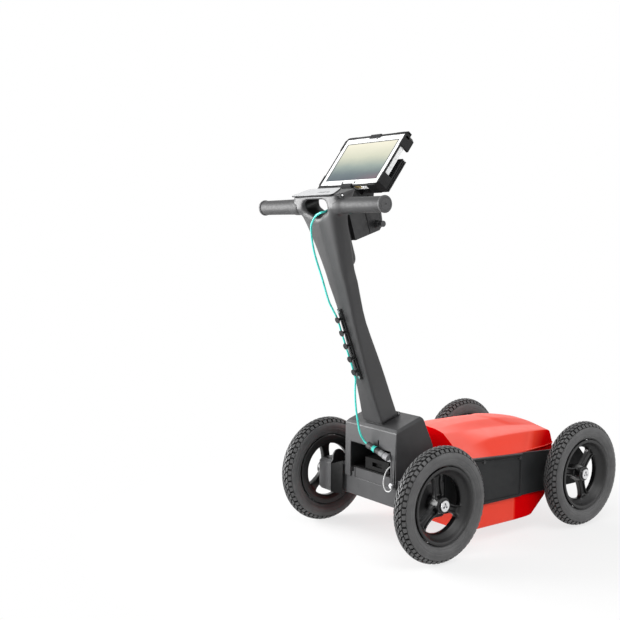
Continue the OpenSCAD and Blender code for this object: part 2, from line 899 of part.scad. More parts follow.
module front_carrier(side) {
    outer = rail_y - front_carrier_step;
    color(black) place() mirror_y(side) difference() {
        union() {
            translate([0, (outer + tub_top_hw) / 2, 0]) across(outer - tub_top_hw) polygon([
                [seam_x, ledge_z], [rail_nose_x - front_carrier_chamfer, ledge_z],
                [rail_nose_x, ledge_z + front_carrier_chamfer],
                [rail_nose_x, sill_z(rail_nose_x) - front_carrier_chamfer],
                [rail_nose_x - front_carrier_chamfer, sill_z(rail_nose_x)], [seam_x, sill_z(seam_x)]
            ]);
            y_rod(front_x, boss_d, tub_top_hw, wheel_y - hub_in - boss_gap);
            y_rod(front_x, 2 * boss_d, tub_top_hw, rail_y);
            difference() {
                box([seam_x, tub_top_hw - gusset_in, ledge_z],
                    [seam_x + gusset_len, tub_top_hw + seat, sill_z(seam_x + gusset_len) - gusset_drop]);
                linear_extrude(sill_rear_z) tub_top_plan(0);
            }
        }
        y_rod(front_x, axle_d, tub_top_hw - over, wheel_y);
    }
}
module left_front_carrier() { front_carrier(1); }
module right_front_carrier() { front_carrier(-1); }

module chassis_screws() {
    color(silver) place() for (side = [-1, 1], x = rail_screw_xs) mirror_y(side)
        translate([x, rail_y, sill_z(x) - rail_screw_drop]) rotate([-90, 0, 0])
            screw(screw_head_d, screw_head_t, screw_d, rail_t);
}

// Antenna tub: a wide low part and a narrower part between the rails
module tub_low_outline(inset) {
    bow_x = tub_rear_x + tub_rake + tub_flat_len;
    ramp_x = bow_x + tub_ramp_len;
    polygon([
        [tub_rear_x + tub_rake / 2 + inset, ledge_z + over],
        [tub_rear_x + tub_rake + inset, ground_gap + inset],
        [bow_x - inset / 2, ground_gap + inset],
        [ramp_x - inset, ground_gap + tub_ramp_rise + inset / 2],
        [tub_rear_x + tub_len - tub_break_len - tub_nose_len - inset, ledge_z + over]
    ]);
}

module tub_plan(inset) {
    straight_x = tub_rear_x + tub_side_len;
    end_x = tub_front_x;
    polygon([
        [tub_rear_x + inset, inset - tub_low_hw], [straight_x, inset - tub_low_hw],
        [end_x, inset - tub_front_hw], [end_x, tub_front_hw - inset],
        [straight_x, tub_low_hw - inset], [tub_rear_x + inset, tub_low_hw - inset]
    ]);
}

// The upper part's plan follows the hood's foot
module tub_top_plan(inset) {
    side = [for (s = hood_stations) [s[0], min(tub_top_hw, s[1] - tub_seam) - inset]];
    polygon(concat(
        [for (p = side) [p.x, -p.y]],
        [for (k = [len(side) - 1 : -1 : 0]) side[k]]
    ));
}

module tub_top_outline(inset, lift) {
    nose_x = tub_front_x - tub_nose_len;
    polygon([
        [tub_rear_x + inset, ledge_z - lift],
        [nose_x - tub_break_len - inset, ledge_z - lift],
        [nose_x - inset, sill_front_z - tub_nose_drop],
        [tub_front_x - inset, sill_front_z],
        [tub_front_x - inset, sill_front_z + lift],
        [tub_rear_x + inset, sill_rear_z + lift]
    ]);
}

module antenna_tub() {
    color(red) place() difference() {
        union() {
            intersection() {
                across(2 * tub_low_hw) tub_low_outline(0);
                linear_extrude(ledge_z) tub_plan(0);
            }
            intersection() {
                across(2 * tub_top_hw) tub_top_outline(0, 0);
                linear_extrude(sill_rear_z + over) tub_top_plan(0);
            }
        }
        intersection() {
            across(2 * tub_low_hw) tub_low_outline(tub_wall);
            linear_extrude(ledge_z + over) tub_plan(tub_wall);
            linear_extrude(ledge_z + over) tub_top_plan(tub_wall);
        }
        intersection() {
            across(2 * tub_top_hw) tub_top_outline(tub_wall, over);
            linear_extrude(sill_rear_z + 2 * over) tub_top_plan(tub_wall);
        }
    }
}

// Hood: a sculpted shell with a raked rear face that tapers to the nose
function hood_station(i) = [
    tub_rear_x + hood_len * hood_x_shares[i],
    hood_hw * hood_foot_shares[i],
    hood_hw * hood_low_y_shares[i],
    hood_h * hood_low_z_shares[i],
    hood_hw * hood_high_y_shares[i],
    hood_h * hood_high_z_shares[i],
    hood_h * hood_ridge_shares[i],
    hood_rake_shares[i]
];
hood_stations = smooth_route([for (i = [0 : len(hood_x_shares) - 1]) hood_station(i)], hood_steps);

function hood_ring(s, inset, shift) =
    let (
        grow = (s[1] - inset) / s[1],
        rise = (s[6] - inset) / s[6],
        low = [s[2] * grow, s[3] * rise],
        high = [s[4] * grow, s[5] * rise],
        top = s[6] * rise,
        crown = [high[0] * hood_crown_share, high[1] + (top - high[1]) * hood_crown_rise_share],
        foot = [s[1] * grow, inset > 0 ? -over : 0],
        half = [foot, low, high, crown],
        ring = concat(half, [[0, top]], [for (k = [len(half) - 1 : -1 : 0]) [-half[k][0], half[k][1]]])
    )
    [for (p = ring) [s[0] + shift + s[7] * p[1], p[0], sill_z(s[0]) + p[1]]];

module hood_loft(inset) {
    loft([for (s = hood_stations) hood_ring(s, inset, inset * (1 - 2 * (s[0] - tub_rear_x) / hood_len))]);
}

module antenna_hood() {
    color(red) place() difference() {
        hood_loft(0);
        hood_loft(tub_wall);
    }
}

// Radar pieces inside the tub
inner_floor_z = ground_gap + tub_wall;
board_z = inner_floor_z + standoff_h;
absorber_z = board_z + board_t + bowtie_t;
module_z = absorber_z + absorber_t;

module bowtie_antennas() {
    color(board_green) place() for (s = [-1, 1]) translate([radar_x + s * board_pitch / 2, 0, 0]) {
        translate([0, 0, board_z + board_t / 2]) cube([board_x, board_y, board_t], center = true);
        for (x = [-1, 1], y = [-1, 1])
            translate([x * (board_x / 2 - standoff_d), y * (board_y / 2 - standoff_d), inner_floor_z])
                cylinder(d = standoff_d, h = standoff_h);
        for (y = [-1, 1]) translate([0, 0, board_z + board_t]) linear_extrude(bowtie_t) polygon([
            [-bowtie_root, y * bowtie_root], [bowtie_root, y * bowtie_root],
            [board_x / 2 - bowtie_root, y * (board_y / 2 - bowtie_root)],
            [bowtie_root - board_x / 2, y * (board_y / 2 - bowtie_root)]
        ]);
    }
}

module rf_absorber() {
    color(black) place() box(
        [radar_x - absorber_x / 2, -absorber_y / 2, absorber_z],
        [radar_x + absorber_x / 2, absorber_y / 2, absorber_z + absorber_t]
    );
}

module radar_module() {
    fin_step = (module_x - module_fin_t) / (module_fins - 1);
    color(silver) place() translate([radar_x - module_x / 2, -module_y / 2, module_z]) {
        difference() {
            cube([module_x, module_y, module_h]);
            translate([module_wall, module_wall, -over])
                cube([module_x - 2 * module_wall, module_y - 2 * module_wall, module_h - module_wall + over]);
        }
        for (k = [0 : module_fins - 1]) translate([k * fin_step, 0, module_h])
            cube([module_fin_t, module_y, module_fin_h]);
    }
}

// Rear chassis: the apron below the bay and the deck under the tower
apron_x = tower_rear_x + tower_wall;

module rear_chassis() {
    color(grey) place() difference() {
        union() {
            box([apron_x, -carrier_in_y, apron_bottom_z], [apron_x + apron_t, carrier_in_y, deck_z]);
            translate([0, 0, deck_z - deck_t]) linear_extrude(deck_t) polygon([
                [apron_x, -carrier_in_y], [rail_rear_x, -carrier_in_y], [rail_rear_x, -tub_top_hw],
                [tub_rear_x, -tub_top_hw], [tub_rear_x, tub_top_hw], [rail_rear_x, tub_top_hw],
                [rail_rear_x, carrier_in_y], [apron_x, carrier_in_y]
            ]);
        }
        translate([apron_x, apron_recess_y, deck_z - apron_recess_h / 2])
            cube([2 * apron_recess, apron_recess_w, apron_recess_h + over], center = true);
        box([apron_x - over, bay_w / 2 - apron_notch_w, deck_z - apron_notch_h],
            [apron_x + apron_t / 2, bay_w / 2, deck_z + over]);
        translate([apron_x - over, pin_y, lock_z]) rotate([0, 90, 0])
            cylinder(d = lock_d + 2 * slip, h = apron_t + 2 * over);
    }
}

// Tower: a bevelled shell over the bay
top_front_x = top_rear_x + tower_top_len;
top_front_z = tower_top_z + tower_top_len * tan(lean);

module tower_outline() {
    polygon([
        [tower_rear_x, deck_z], [tower_rear_x, tower_top_z - tower_bevel_z], [top_rear_x, tower_top_z],
        [top_front_x, top_front_z], [top_front_x + tower_nose_x, top_front_z - tower_nose_z],
        [tower_front_x - tower_brow_x, tower_brow_z], [tower_front_x, tower_knee_z], [tower_front_x, deck_z]
    ]);
}

module tower_inner() {
    w = tower_wall;
    polygon([
        [tower_rear_x + w, deck_z - over], [tower_rear_x + w, tower_top_z - tower_bevel_z - w],
        [top_rear_x + w, tower_top_z - w], [top_front_x - w, top_front_z - 2 * w],
        [tower_front_x - tower_brow_x - 2 * w, tower_brow_z], [tower_front_x - w, tower_knee_z],
        [tower_front_x - w, deck_z - over]
    ]);
}

module tower_shell() {
    half = tower_w / 2;
    color(grey) place() difference() {
        union() {
            across(tower_w) tower_outline();
            for (s = [-1, 1]) translate([0, s * (half - tab_w / 2), 0])
                box([tower_rear_x, -tab_w / 2, deck_z - tab_drop], [apron_x, tab_w / 2, deck_z + over]);
        }
        across(tower_w - 2 * tower_wall) tower_inner();
        box([tower_rear_x - over, -bay_w / 2, deck_z - over], [apron_x + over, bay_w / 2, bay_top_z]);
        box([tower_rear_x - over, tie_slot_y - tie_slot_w / 2, bay_top_z + tie_slot_gap],
            [apron_x + over, tie_slot_y + tie_slot_w / 2, bay_top_z + tie_slot_gap + tie_slot_h]);
        translate([tower_rear_x - over, pin_y, lock_z]) rotate([0, 90, 0])
            cylinder(d = lock_d + 2 * slip, h = tower_wall + 2 * over);
        for (s = [-1, 1]) translate([top_rear_x, s * half, tower_top_z]) rotate([0, -lean, 0])
            rotate([45, 0, 0]) cube([2 * tower_len, tower_edge_bevel, tower_edge_bevel], center = true);
    }
}

module bay_tray() {
    half = bay_w / 2 - seat;
    low_x = apron_x + tray_wall;
    high_x = tower_front_x - 2 * tower_wall;
    color(black) place() difference() {
        box([low_x, -half, deck_z], [high_x, half, deck_z + tray_side_h]);
        box([low_x - over, tray_wall - half, deck_z + tray_t],
            [high_x - tray_wall, half - tray_wall, deck_z + 2 * tray_side_h]);
    }
}

module battery_pack() {
    low_x = apron_x + battery_in;
    mid_z = deck_z + tray_t + battery_gap + battery_h / 2;
    color(black) place() difference() {
        translate([low_x + battery_x / 2, battery_mid_y, mid_z])
            cube([battery_x, battery_y, battery_h], center = true);
        translate([low_x, battery_mid_y, mid_z])
            cube([2 * battery_pull_deep, battery_pull_w, battery_pull_h], center = true);
    }
}

// Data plug and its socket
module cable_plug() {
    reach = norm(plug_to - plug_from);
    color(teal) place() along(plug_from, plug_to) {
        cylinder(d = plug_d, h = reach - plug_gap);
        cylinder(d = plug_collar_d, h = plug_collar_l);
        translate([0, 0, 2 * plug_collar_l]) cylinder(d = plug_ring_d, h = plug_ring_l);
        translate([0, 0, reach - plug_gap - over]) cylinder(d = axle_d, h = plug_gap + over);
    }
}

module bay_socket() {
    color(silver) place() {
        along(plug_to, 2 * plug_to - plug_from) cylinder(d = socket_d, h = socket_l);
        box([apron_x, tower_wall - tower_w / 2, plug_to.z - socket_plate_h],
            [apron_x + socket_plate_t, plug_to.y, plug_to.z + socket_d / 4]);
    }
}

// Fold hinge, in the column frame
module knuckle(y0, y1) {
    translate([hinge_v, y0, 0]) rotate([-90, 0, 0]) cylinder(d = hinge_d, h = y1 - y0);
}

module hinge_bore(d) {
    translate([hinge_v, -hinge_len, 0]) rotate([-90, 0, 0]) cylinder(d = d, h = 2 * hinge_len);
}

module hinge_base_leaf() {
    third = hinge_len / 6;
    color(black) in_column() difference() {
        union() {
            box([leaf_v, -hinge_len / 2, -leaf_stack], [hinge_v, hinge_len / 2, leaf_t - leaf_stack]);
            for (s = [-1, 1]) mirror_y(s) knuckle(third + knuckle_gap, hinge_len / 2);
        }
        box([hinge_v - hinge_d / 2 - free, -third - knuckle_gap, -leaf_stack - over],
            [hinge_v + hinge_d, third + knuckle_gap, hinge_d]);
        hinge_bore(hinge_pin_d);
    }
}

module hinge_column_leaf() {
    third = hinge_len / 6;
    color(black) in_column() difference() {
        union() {
            box([leaf_v, -third, -leaf_t], [hinge_v, third, 0]);
            knuckle(-third, third);
        }
        hinge_bore(hinge_pin_d + 2 * slip);
    }
}

module hinge_pin() {
    color(silver) in_column() translate([hinge_v, -hinge_len / 2, 0]) rotate([-90, 0, 0])
        cylinder(d = hinge_pin_d, h = hinge_len);
}

// Column and head: one moulded shell through stations of height, half width, front face and rear bevel
function column_station(i) = [
    column_len * column_z_shares[i],
    (waist_w + (foot_w - waist_w) * column_foot_shares[i] + (head_w - waist_w) * column_head_shares[i]) / 2,
    neck_depth + (foot_depth - neck_depth) * column_depth_shares[i] + head_front * column_front_shares[i],
    neck_depth * column_bevel_shares[i],
    head_rear * column_rear_shares[i]
];
column_stations = smooth_route([for (i = [0 : len(column_z_shares) - 1]) column_station(i)], column_steps);

function corner_arc(c, r, from) = [
    for (k = [0 : corner_steps]) let (a = from + 90 * k / corner_steps) c + r * [cos(a), sin(a)]
];
function column_ring(s, inset, z) =
    let (
        w = s[1] - inset,
        f = max(s[2], neck_depth) - inset,
        q = column_corner - inset / 2,
        r = max(s[3] - inset, q / 2),
        back = r + inset - max(s[4], 0),
        outline = concat(
            corner_arc([back, r - w], r, 180),
            corner_arc([f - q, q - w], q, 270),
            corner_arc([f - q, w - q], q, 0),
            corner_arc([back, w - r], r, 90)
        )
    )
    [for (p = outline) [p.x, p.y, z]];

module column_loft(inset, low, high_share) {
    picks = [for (s = column_stations) if (s[0] < column_len * high_share + over) s];
    loft([for (s = picks) column_ring(s, inset, s[0] > 0 ? s[0] : low)]);
}

// Hand hole: two lobes over a low one, with straight sides a little inside their common tangents
module hand_hole() {
    reach = hole_spread / 2;
    drop = (hole_lobe_d - hole_low_d) / 2;
    a = atan2(-hole_rise, -reach) + acos(drop / norm([reach, hole_rise]));
    side = hole_bite_share * [cos(a), sin(a)];
    high = [reach, 0] + side * hole_lobe_d / 2;
    low = [0, -hole_rise] + side * hole_low_d / 2;
    crown = hole_bite_share * hole_lobe_d / 2;
    for (s = [-1, 1]) translate([s * reach, 0]) circle(d = hole_lobe_d);
    translate([0, -hole_rise]) circle(d = hole_low_d);
    polygon([[reach, crown], high, low, [-low.x, low.y], [-high.x, high.y], [-reach, crown]]);
}

module column_shell() {
    color(grey) in_column() difference() {
        union() {
            column_loft(0, 0, 1);
            for (s = [-1, 1]) mirror_y(s) translate([bar_v, tube_in, bar_u]) rotate([-90, 0, 0])
                cylinder(d = barrel_d, h = grip_in - tube_in);
        }
        column_loft(column_wall, -over, column_hollow_share);
        forwards(-barrel_d, 2 * barrel_d + foot_depth) translate([0, column_len - hole_drop])
            hand_hole();
        for (s = [-1, 1]) mirror_y(s) translate([bar_v, tube_in, bar_u]) rotate([-90, 0, 0])
            cylinder(d = tube_d, h = head_w);
        board_frame() for (z = [-1, 1]) translate([-over, 0, z * board_screw_u]) rotate([0, 90, 0])
            cylinder(d = screw_d, h = 2 * screw_l);
        translate([knob_v, -head_w / 2, knob_u]) rotate([90, 0, 0]) translate([0, 0, -knob_stem_l - knob_neck])
            cylinder(d = knob_stem_d + 2 * slip, h = 2 * knob_stem_l);
    }
}

module head_plate() {
    color(silver) in_column() translate([plate_mid_v, plate_short / 2, column_len]) linear_extrude(plate_t)
        round_rect(plate_depth, head_w - 2 * plate_inset - plate_short, plate_corner);
}

module head_knob() {
    color(black) in_column() translate([knob_v, -head_w / 2, knob_u])
        rotate([90, 0, 0]) difference() {
            union() {
                translate([0, 0, free]) cylinder(d = knob_d, h = knob_l);
                translate([0, 0, -knob_stem_l]) cylinder(d = knob_stem_d, h = knob_stem_l + over);
            }
            for (k = [0 : knob_flutes - 1]) rotate(360 * k / knob_flutes)
                translate([knob_d / 2, 0, -over]) cylinder(d = knob_flute_d, h = knob_l + 2 * over);
        }
}

module handle_tubes() {
    color(black) in_column() for (s = [-1, 1]) mirror_y(s) translate([bar_v, tube_in, bar_u])
        rotate([-90, 0, 0]) difference() {
            cylinder(d = tube_d, h = grip_out - tube_in);
            translate([0, 0, -over]) cylinder(d = tube_d - column_wall, h = grip_out);
        }
}

module grip(side) {
    grip_l = grip_out - grip_in;
    color(rubber) in_column() mirror_y(side) translate([bar_v, grip_in, bar_u]) rotate([-90, 0, 0])
        difference() {
            union() {
                cylinder(d1 = grip_d, d2 = grip_tip_d, h = grip_l);
                translate([0, 0, grip_l]) cylinder(d = cap_d, h = cap_t);
            }
            translate([0, 0, -over]) cylinder(d = tube_d, h = grip_l + over);
        }
}
module left_grip() { grip(1); }
module right_grip() { grip(-1); }

// Pegboard that the data cable runs along
module board_frame() {
    translate([0, board_mid_y, board_mid_u]) rotate([-board_slant, 0, 0]) children();
}

module cable_pegboard() {
    color(black) in_column() board_frame() difference() {
        union() {
            translate([-board_plate_t / 2, 0, 0]) cube([board_plate_t, board_w, board_len], center = true);
            for (k = [0 : peg_count - 1]) translate([0, 0, (k - (peg_count - 1) / 2) * peg_pitch])
                rotate([0, -90, 0]) {
                    cylinder(d = peg_d, h = board_plate_t + peg_l);
                    translate([0, 0, board_plate_t + peg_l]) cylinder(d = peg_disc_d, h = peg_disc_t);
                }
        }
        for (k = [0 : peg_count - 2]) translate([0, 0, (k + 0.5 - (peg_count - 1) / 2) * peg_pitch])
            cube([3 * board_plate_t, board_slot_w, peg_pitch - 2 * peg_d], center = true);
        for (z = [-1, 1]) translate([-board_plate_t - over, 0, z * board_screw_u]) rotate([0, 90, 0])
            cylinder(d = screw_d, h = board_plate_t + 2 * over);
    }
}

module column_screws() {
    color(silver) in_column() board_frame() for (z = [-1, 1])
        translate([-board_plate_t, 0, z * board_screw_u]) rotate([0, -90, 0])
            screw(screw_head_d, screw_head_t, screw_d, screw_l);
}

// Data cable: the upper run rides on the column, the lower one crosses the fold
function column_point(p) = [
    foot_x + p.x * cos(lean) - p.z * sin(lean), p.y, foot_z + p.x * sin(lean) + p.z * cos(lean)
];
cable_joint_gap = 0.4;
cable_straight = 7;

module data_cable_upper() {
    color(teal) in_column() cord(upper_route, cable_d);
}

module data_cable_lower() {
    start = [for (drop = [cable_joint_gap, cable_straight]) column_point(cable_end - [0, 0, drop])];
    color(teal) place() cord(concat(start, lower_route), cable_d);
}

// Display bracket and its clamp
module bracket_outline() {
    nose = bracket_v + bracket_len;
    polygon([
        [bracket_v, bracket_low_u], [nose - bracket_chin, bracket_low_u],
        [nose, bracket_low_u + bracket_chin_rise], [nose, bracket_high_u - bracket_brow_drop],
        [nose - bracket_brow, bracket_high_u], [bracket_v, bracket_high_u]
    ]);
}

module display_bracket() {
    color(grey) in_column() difference() {
        union() {
            across(bracket_w) bracket_outline();
            box([bracket_v - bracket_gap - over, -bracket_web_w / 2, bracket_low_u],
                [bracket_v + over, bracket_web_w / 2, bracket_high_u]);
            forwards(neck_depth, bracket_tongue_t) {
                translate([0, bracket_foot_u + bracket_tongue_w / 2]) circle(d = bracket_tongue_w);
                translate([-bracket_tongue_w / 2, bracket_foot_u + bracket_tongue_w / 2])
                    square([bracket_tongue_w, bracket_high_u - bracket_foot_u - bracket_tongue_w / 2]);
            }
            translate([pivot_v, -bracket_w / 2 - collar_l, pivot_u]) rotate([-90, 0, 0])
                cylinder(d = collar_d, h = collar_l + over);
        }
        box([bracket_slot_v, -bracket_slot_w / 2, bracket_low_u - over],
            [bracket_v + bracket_len + over, bracket_slot_w / 2, bracket_high_u + over]);
        translate([pivot_v, -bracket_w, pivot_u]) rotate([-90, 0, 0])
            cylinder(d = pivot_d + 2 * slip, h = 2 * bracket_w);
        for (s = [-1, 1]) translate([bracket_slot_v, s * bracket_w / 2, (bracket_low_u + bracket_high_u) / 2])
            cube([bracket_groove, 2 * bracket_groove, bracket_high_u], center = true);
    }
}

module clamp_lever() {
    hub_y = -bracket_w / 2 - collar_l - free;
    nut_y = bracket_w / 2 + free;
    color(silver) in_column() translate([pivot_v, 0, pivot_u]) {
        translate([0, hub_y, 0]) rotate([90, 0, 0]) cylinder(d = lever_hub_d, h = lever_hub_l);
        translate([0, hub_y - over, 0]) rotate([-90, 0, 0]) cylinder(d = pivot_d, h = nut_y - hub_y + 2 * over);
        translate([0, nut_y, 0]) rotate([-90, 0, 0]) cylinder(d = bolt_nut_d, h = bolt_nut_t, $fn = 6);
        translate([0, hub_y - lever_hub_l / 2, 0]) rotate([lever_splay, 0, 0]) {
            cylinder(d = lever_arm_d, h = lever_arm_l);
            translate([0, 0, lever_arm_l]) sphere(d = lever_ball_d);
        }
    }
}

module display_arm() {
    foot_n = tablet_t + pack_t + dock_t;
    foot_t = arm_foot_low + arm_foot_h / 2;
    turn = lean + 90 - screen_tilt;
    foot_at = [
        screen_v + (foot_n + arm_foot_t) * cos(turn) + foot_t * sin(turn), 0,
        screen_u - (foot_n + arm_foot_t) * sin(turn) + foot_t * cos(turn)
    ];
    pivot = [pivot_v, 0, pivot_u];
    color(black) {
        in_column() difference() {
            union() {
                translate(pivot) rotate([90, 0, 0]) cylinder(d = arm_eye_d, h = arm_w, center = true);
                along(pivot, foot_at) translate([-arm_t / 2, -arm_w / 2, 0])
                    cube([arm_t, arm_w, norm(foot_at - pivot)]);
                translate([screen_v, 0, screen_u]) rotate([0, turn, 0]) box(
                    [foot_n, -arm_foot_w / 2, arm_foot_low],
                    [foot_n + arm_foot_t, arm_foot_w / 2, arm_foot_low + arm_foot_h]
                );
            }
            translate(pivot) rotate([90, 0, 0]) cylinder(d = pivot_d + 2 * slip, h = 2 * arm_w, center = true);
            translate([screen_v, 0, screen_u]) rotate([0, turn, 0]) box(
                [foot_n - arm_eye_d, -arm_w, arm_foot_low - arm_foot_h],
                [foot_n, arm_w, arm_foot_low + 2 * arm_foot_h]
            );
        }
    }
}

// Tablet and dock, in the screen frame
module dock_plate() {
    back = tablet_t + pack_t;
    rib_step = dock_h / 6;
    color(black) in_screen() difference() {
        union() {
            box([back, -dock_w / 2, dock_low], [back + dock_t, dock_w / 2, dock_low + dock_h]);
            box([back, -dock_lip_w / 2, -dock_lip_t], [back + dock_t, dock_lip_w / 2, dock_low + over]);
            box([-dock_lip_hook, -dock_lip_w / 2, -dock_lip_t], [back + over, dock_lip_w / 2, 0]);
            box([-dock_lip_hook, -dock_lip_w / 2, -dock_lip_t], [-free, dock_lip_w / 2, dock_lip_up]);
        }
        box([back - over, -latch_w / 2 - free, latch_low - free],
            [back + latch_in + latch_t + free, latch_w / 2 + free, dock_low + dock_h + over]);
        for (s = [-1, 1], k = [1 : 5])
            translate([back + dock_t, s * (dock_w / 4 + latch_w / 2), dock_low + k * rib_step])
                cube([2 * dock_rib_deep, dock_w / 3, dock_rib_w], center = true);
        for (s = [-1, 1], k = [1, 2]) translate([back + k * dock_t / 3, s * dock_w / 2, dock_low + dock_h / 2])
            cube([dock_side_groove, 2 * dock_side_deep, dock_h + 2 * over], center = true);
    }
}

module dock_latch() {
    bar_n = tablet_t + pack_t + latch_in;
    top = tablet_h + latch_gap;
    color(silver) in_screen() {
        box([bar_n, -latch_w / 2, latch_low], [bar_n + latch_t, latch_w / 2, top + latch_hook_t]);
        box([-latch_front, -latch_hook_w / 2, top], [bar_n + over, latch_hook_w / 2, top + latch_hook_t]);
        box([-latch_front, -latch_hook_w / 2, top - latch_front_h], [-free, latch_hook_w / 2, top + over]);
    }
}

module tablet_body() {
    color(white) in_screen() difference() {
        forwards(0, tablet_t) translate([0, tablet_h / 2]) round_rect(tablet_w, tablet_h, tablet_corner);
        translate([0, 0, tablet_h / 2]) cube([2 * (glass_t + glass_sink), screen_w, screen_h], center = true);
        for (s = [-1, 1]) translate([-over, s * key_y, key_z]) rotate([0, 90, 0])
            cylinder(d = key_d + 2 * key_gap, h = key_hole + over);
    }
}

module tablet_glass() {
    color("slategray") in_screen() translate([glass_sink + glass_t / 2, 0, tablet_h / 2])
        cube([glass_t, screen_w - 2 * seat, screen_h - 2 * seat], center = true);
}

module tablet_key(side) {
    color(grey) in_screen() translate([-key_rise, side * key_y, key_z]) rotate([0, 90, 0])
        cylinder(d = key_d, h = key_rise + key_in);
}
module tablet_key_left() { tablet_key(1); }
module tablet_key_right() { tablet_key(-1); }

module tablet_battery() {
    high = pack_low + pack_h;
    color(black) in_screen() across(pack_w) polygon([
        [tablet_t, pack_low], [tablet_t + pack_t, pack_low + pack_draft],
        [tablet_t + pack_t, high - pack_draft], [tablet_t, high]
    ]);
}

module guard_corner() {
    half_w = tablet_w / 2;
    half_h = tablet_h / 2;
    polygon([
        [half_w + guard_out, half_h - guard_leg], [half_w + guard_out, half_h + guard_out - guard_chamfer],
        [half_w + guard_out - guard_chamfer, half_h + guard_out], [half_w - guard_leg, half_h + guard_out],
        [half_w - guard_leg, half_h - guard_lap], [half_w - guard_lap, half_h - guard_lap],
        [half_w - guard_lap, half_h - guard_leg]
    ]);
}

module corner_guards() {
    lap_t = tablet_t + guard_lap + guard_deep;
    rim_in = latch_hook_w / 2 + guard_rim;
    rim_out = tablet_w / 2 - guard_leg / 2;
    color(rubber) in_screen() translate([0, 0, tablet_h / 2]) difference() {
        union() {
            forwards(-guard_lap, lap_t) for (y = [0, 1], z = [0, 1])
                mirror([y, 0]) mirror([0, z]) guard_corner();
            forwards(-guard_lap / 2, guard_rim_t) for (s = [-1, 1]) {
                translate([s * (tablet_w + guard_rim) / 2, 0])
                    square([guard_rim, tablet_h - guard_leg], center = true);
                translate([s * (rim_in + rim_out) / 2, (tablet_h + guard_rim) / 2])
                    square([rim_out - rim_in, guard_rim], center = true);
            }
        }
        forwards(0, tablet_t) round_rect(tablet_w, tablet_h, tablet_corner);
    }
}

// Lock pin with its lanyard
module lock_pin() {
    color(silver) place() translate([tower_rear_x, pin_y, lock_z]) rotate([0, -90, 0]) {
        translate([0, 0, -lock_l]) cylinder(d = lock_d, h = lock_l + over);
        translate([0, 0, free]) cylinder(d = lock_head_d, h = lock_head_l);
        translate([0, 0, free + lock_head_l]) cylinder(d = lock_ring_d, h = lock_ring_t);
    }
}

module pin_lanyard() {
    color(white) place() cord(lanyard_route, lanyard_d);
}

antenna_tub();
antenna_hood();
bowtie_antennas();
rf_absorber();
radar_module();
left_side_rail();
right_side_rail();
left_front_carrier();
right_front_carrier();
rear_chassis();
tower_shell();
bay_tray();
bay_socket();
cable_plug();
encoder_housing();
encoder_cover();
encoder_sensor();
encoder_disc();
right_axle_carrier();
wheel_axles();
chassis_screws();
hinge_base_leaf();
hinge_pin();
hinge_column_leaf();
lock_pin();
pin_lanyard();
battery_pack();
rear_left_tyre();
rear_left_rim();
rear_left_bearings();
rear_right_tyre();
rear_right_rim();
rear_right_bearings();
front_left_tyre();
front_left_rim();
front_left_bearings();
front_right_tyre();
front_right_rim();
front_right_bearings();
column_shell();
head_plate();
head_knob();
handle_tubes();
left_grip();
right_grip();
cable_pegboard();
column_screws();
data_cable_upper();
data_cable_lower();
display_bracket();
clamp_lever();
display_arm();
dock_plate();
dock_latch();
tablet_body();
tablet_glass();
tablet_battery();
corner_guards();
tablet_key_left();
tablet_key_right();
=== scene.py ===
import math

import bmesh
import bpy
import numpy as np
from mathutils import Matrix, Vector


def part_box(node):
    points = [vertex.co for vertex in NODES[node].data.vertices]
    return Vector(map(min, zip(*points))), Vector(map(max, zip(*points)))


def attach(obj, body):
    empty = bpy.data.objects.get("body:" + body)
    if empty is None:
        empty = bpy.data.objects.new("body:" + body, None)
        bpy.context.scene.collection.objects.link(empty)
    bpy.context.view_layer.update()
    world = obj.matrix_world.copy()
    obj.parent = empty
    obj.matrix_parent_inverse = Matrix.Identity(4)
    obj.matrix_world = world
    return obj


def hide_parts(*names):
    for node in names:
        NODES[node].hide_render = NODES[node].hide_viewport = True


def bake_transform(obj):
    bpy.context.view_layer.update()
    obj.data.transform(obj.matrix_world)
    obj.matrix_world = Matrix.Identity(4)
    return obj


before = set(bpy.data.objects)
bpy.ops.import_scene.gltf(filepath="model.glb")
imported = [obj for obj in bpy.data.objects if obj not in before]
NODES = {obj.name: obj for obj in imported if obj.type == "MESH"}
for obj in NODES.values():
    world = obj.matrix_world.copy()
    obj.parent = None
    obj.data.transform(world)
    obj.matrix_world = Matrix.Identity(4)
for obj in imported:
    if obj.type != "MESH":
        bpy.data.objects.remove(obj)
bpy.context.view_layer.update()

SCENE = bpy.context.scene
MM = 0.001
WHITE = (1, 1, 1, 1)
SIDEWAYS = Vector((0, 1, 0))
SIDES = (("left", 1), ("right", -1))

# Axle frame, in mm: X forward from midway between the axles, Y to the left, Z up from the floor
SHIFT = 45.5606
WHEEL_X, WHEEL_Y, WHEEL_Z = 300, 248, 159
# Each wheel's signs of x and y, and how far its tread is turned, in degrees
WHEELS = {
    "rear_left": (-1, 1, 10), "rear_right": (-1, -1, 31),
    "front_left": (1, 1, 47), "front_right": (1, -1, 83),
}
# The tyre's section: radius of its middle, half height and half width
TYRE_MID, TYRE_TALL, TYRE_HALF = 130.35, 28.65, 27.0
# The hood's rear end, the height of its sill there and the rake of its rear cap
HOOD_REAR, SILL_REAR, CAP_RAKE = -165, 254, 0.8
# The plug at the bay, from its cable to its tip
PLUG_AT, PLUG_TO = (-350, -8, 284), (-341, -68, 263)

# Column frame, in mm: v forward across the column, u up along it from its foot
LEAN = math.radians(18.5)
FOOT = (-328.904, 344.690)
COLUMN_OUT = Vector((math.cos(LEAN), 0, math.sin(LEAN)))
COLUMN_UP = Vector((-math.sin(LEAN), 0, math.cos(LEAN)))

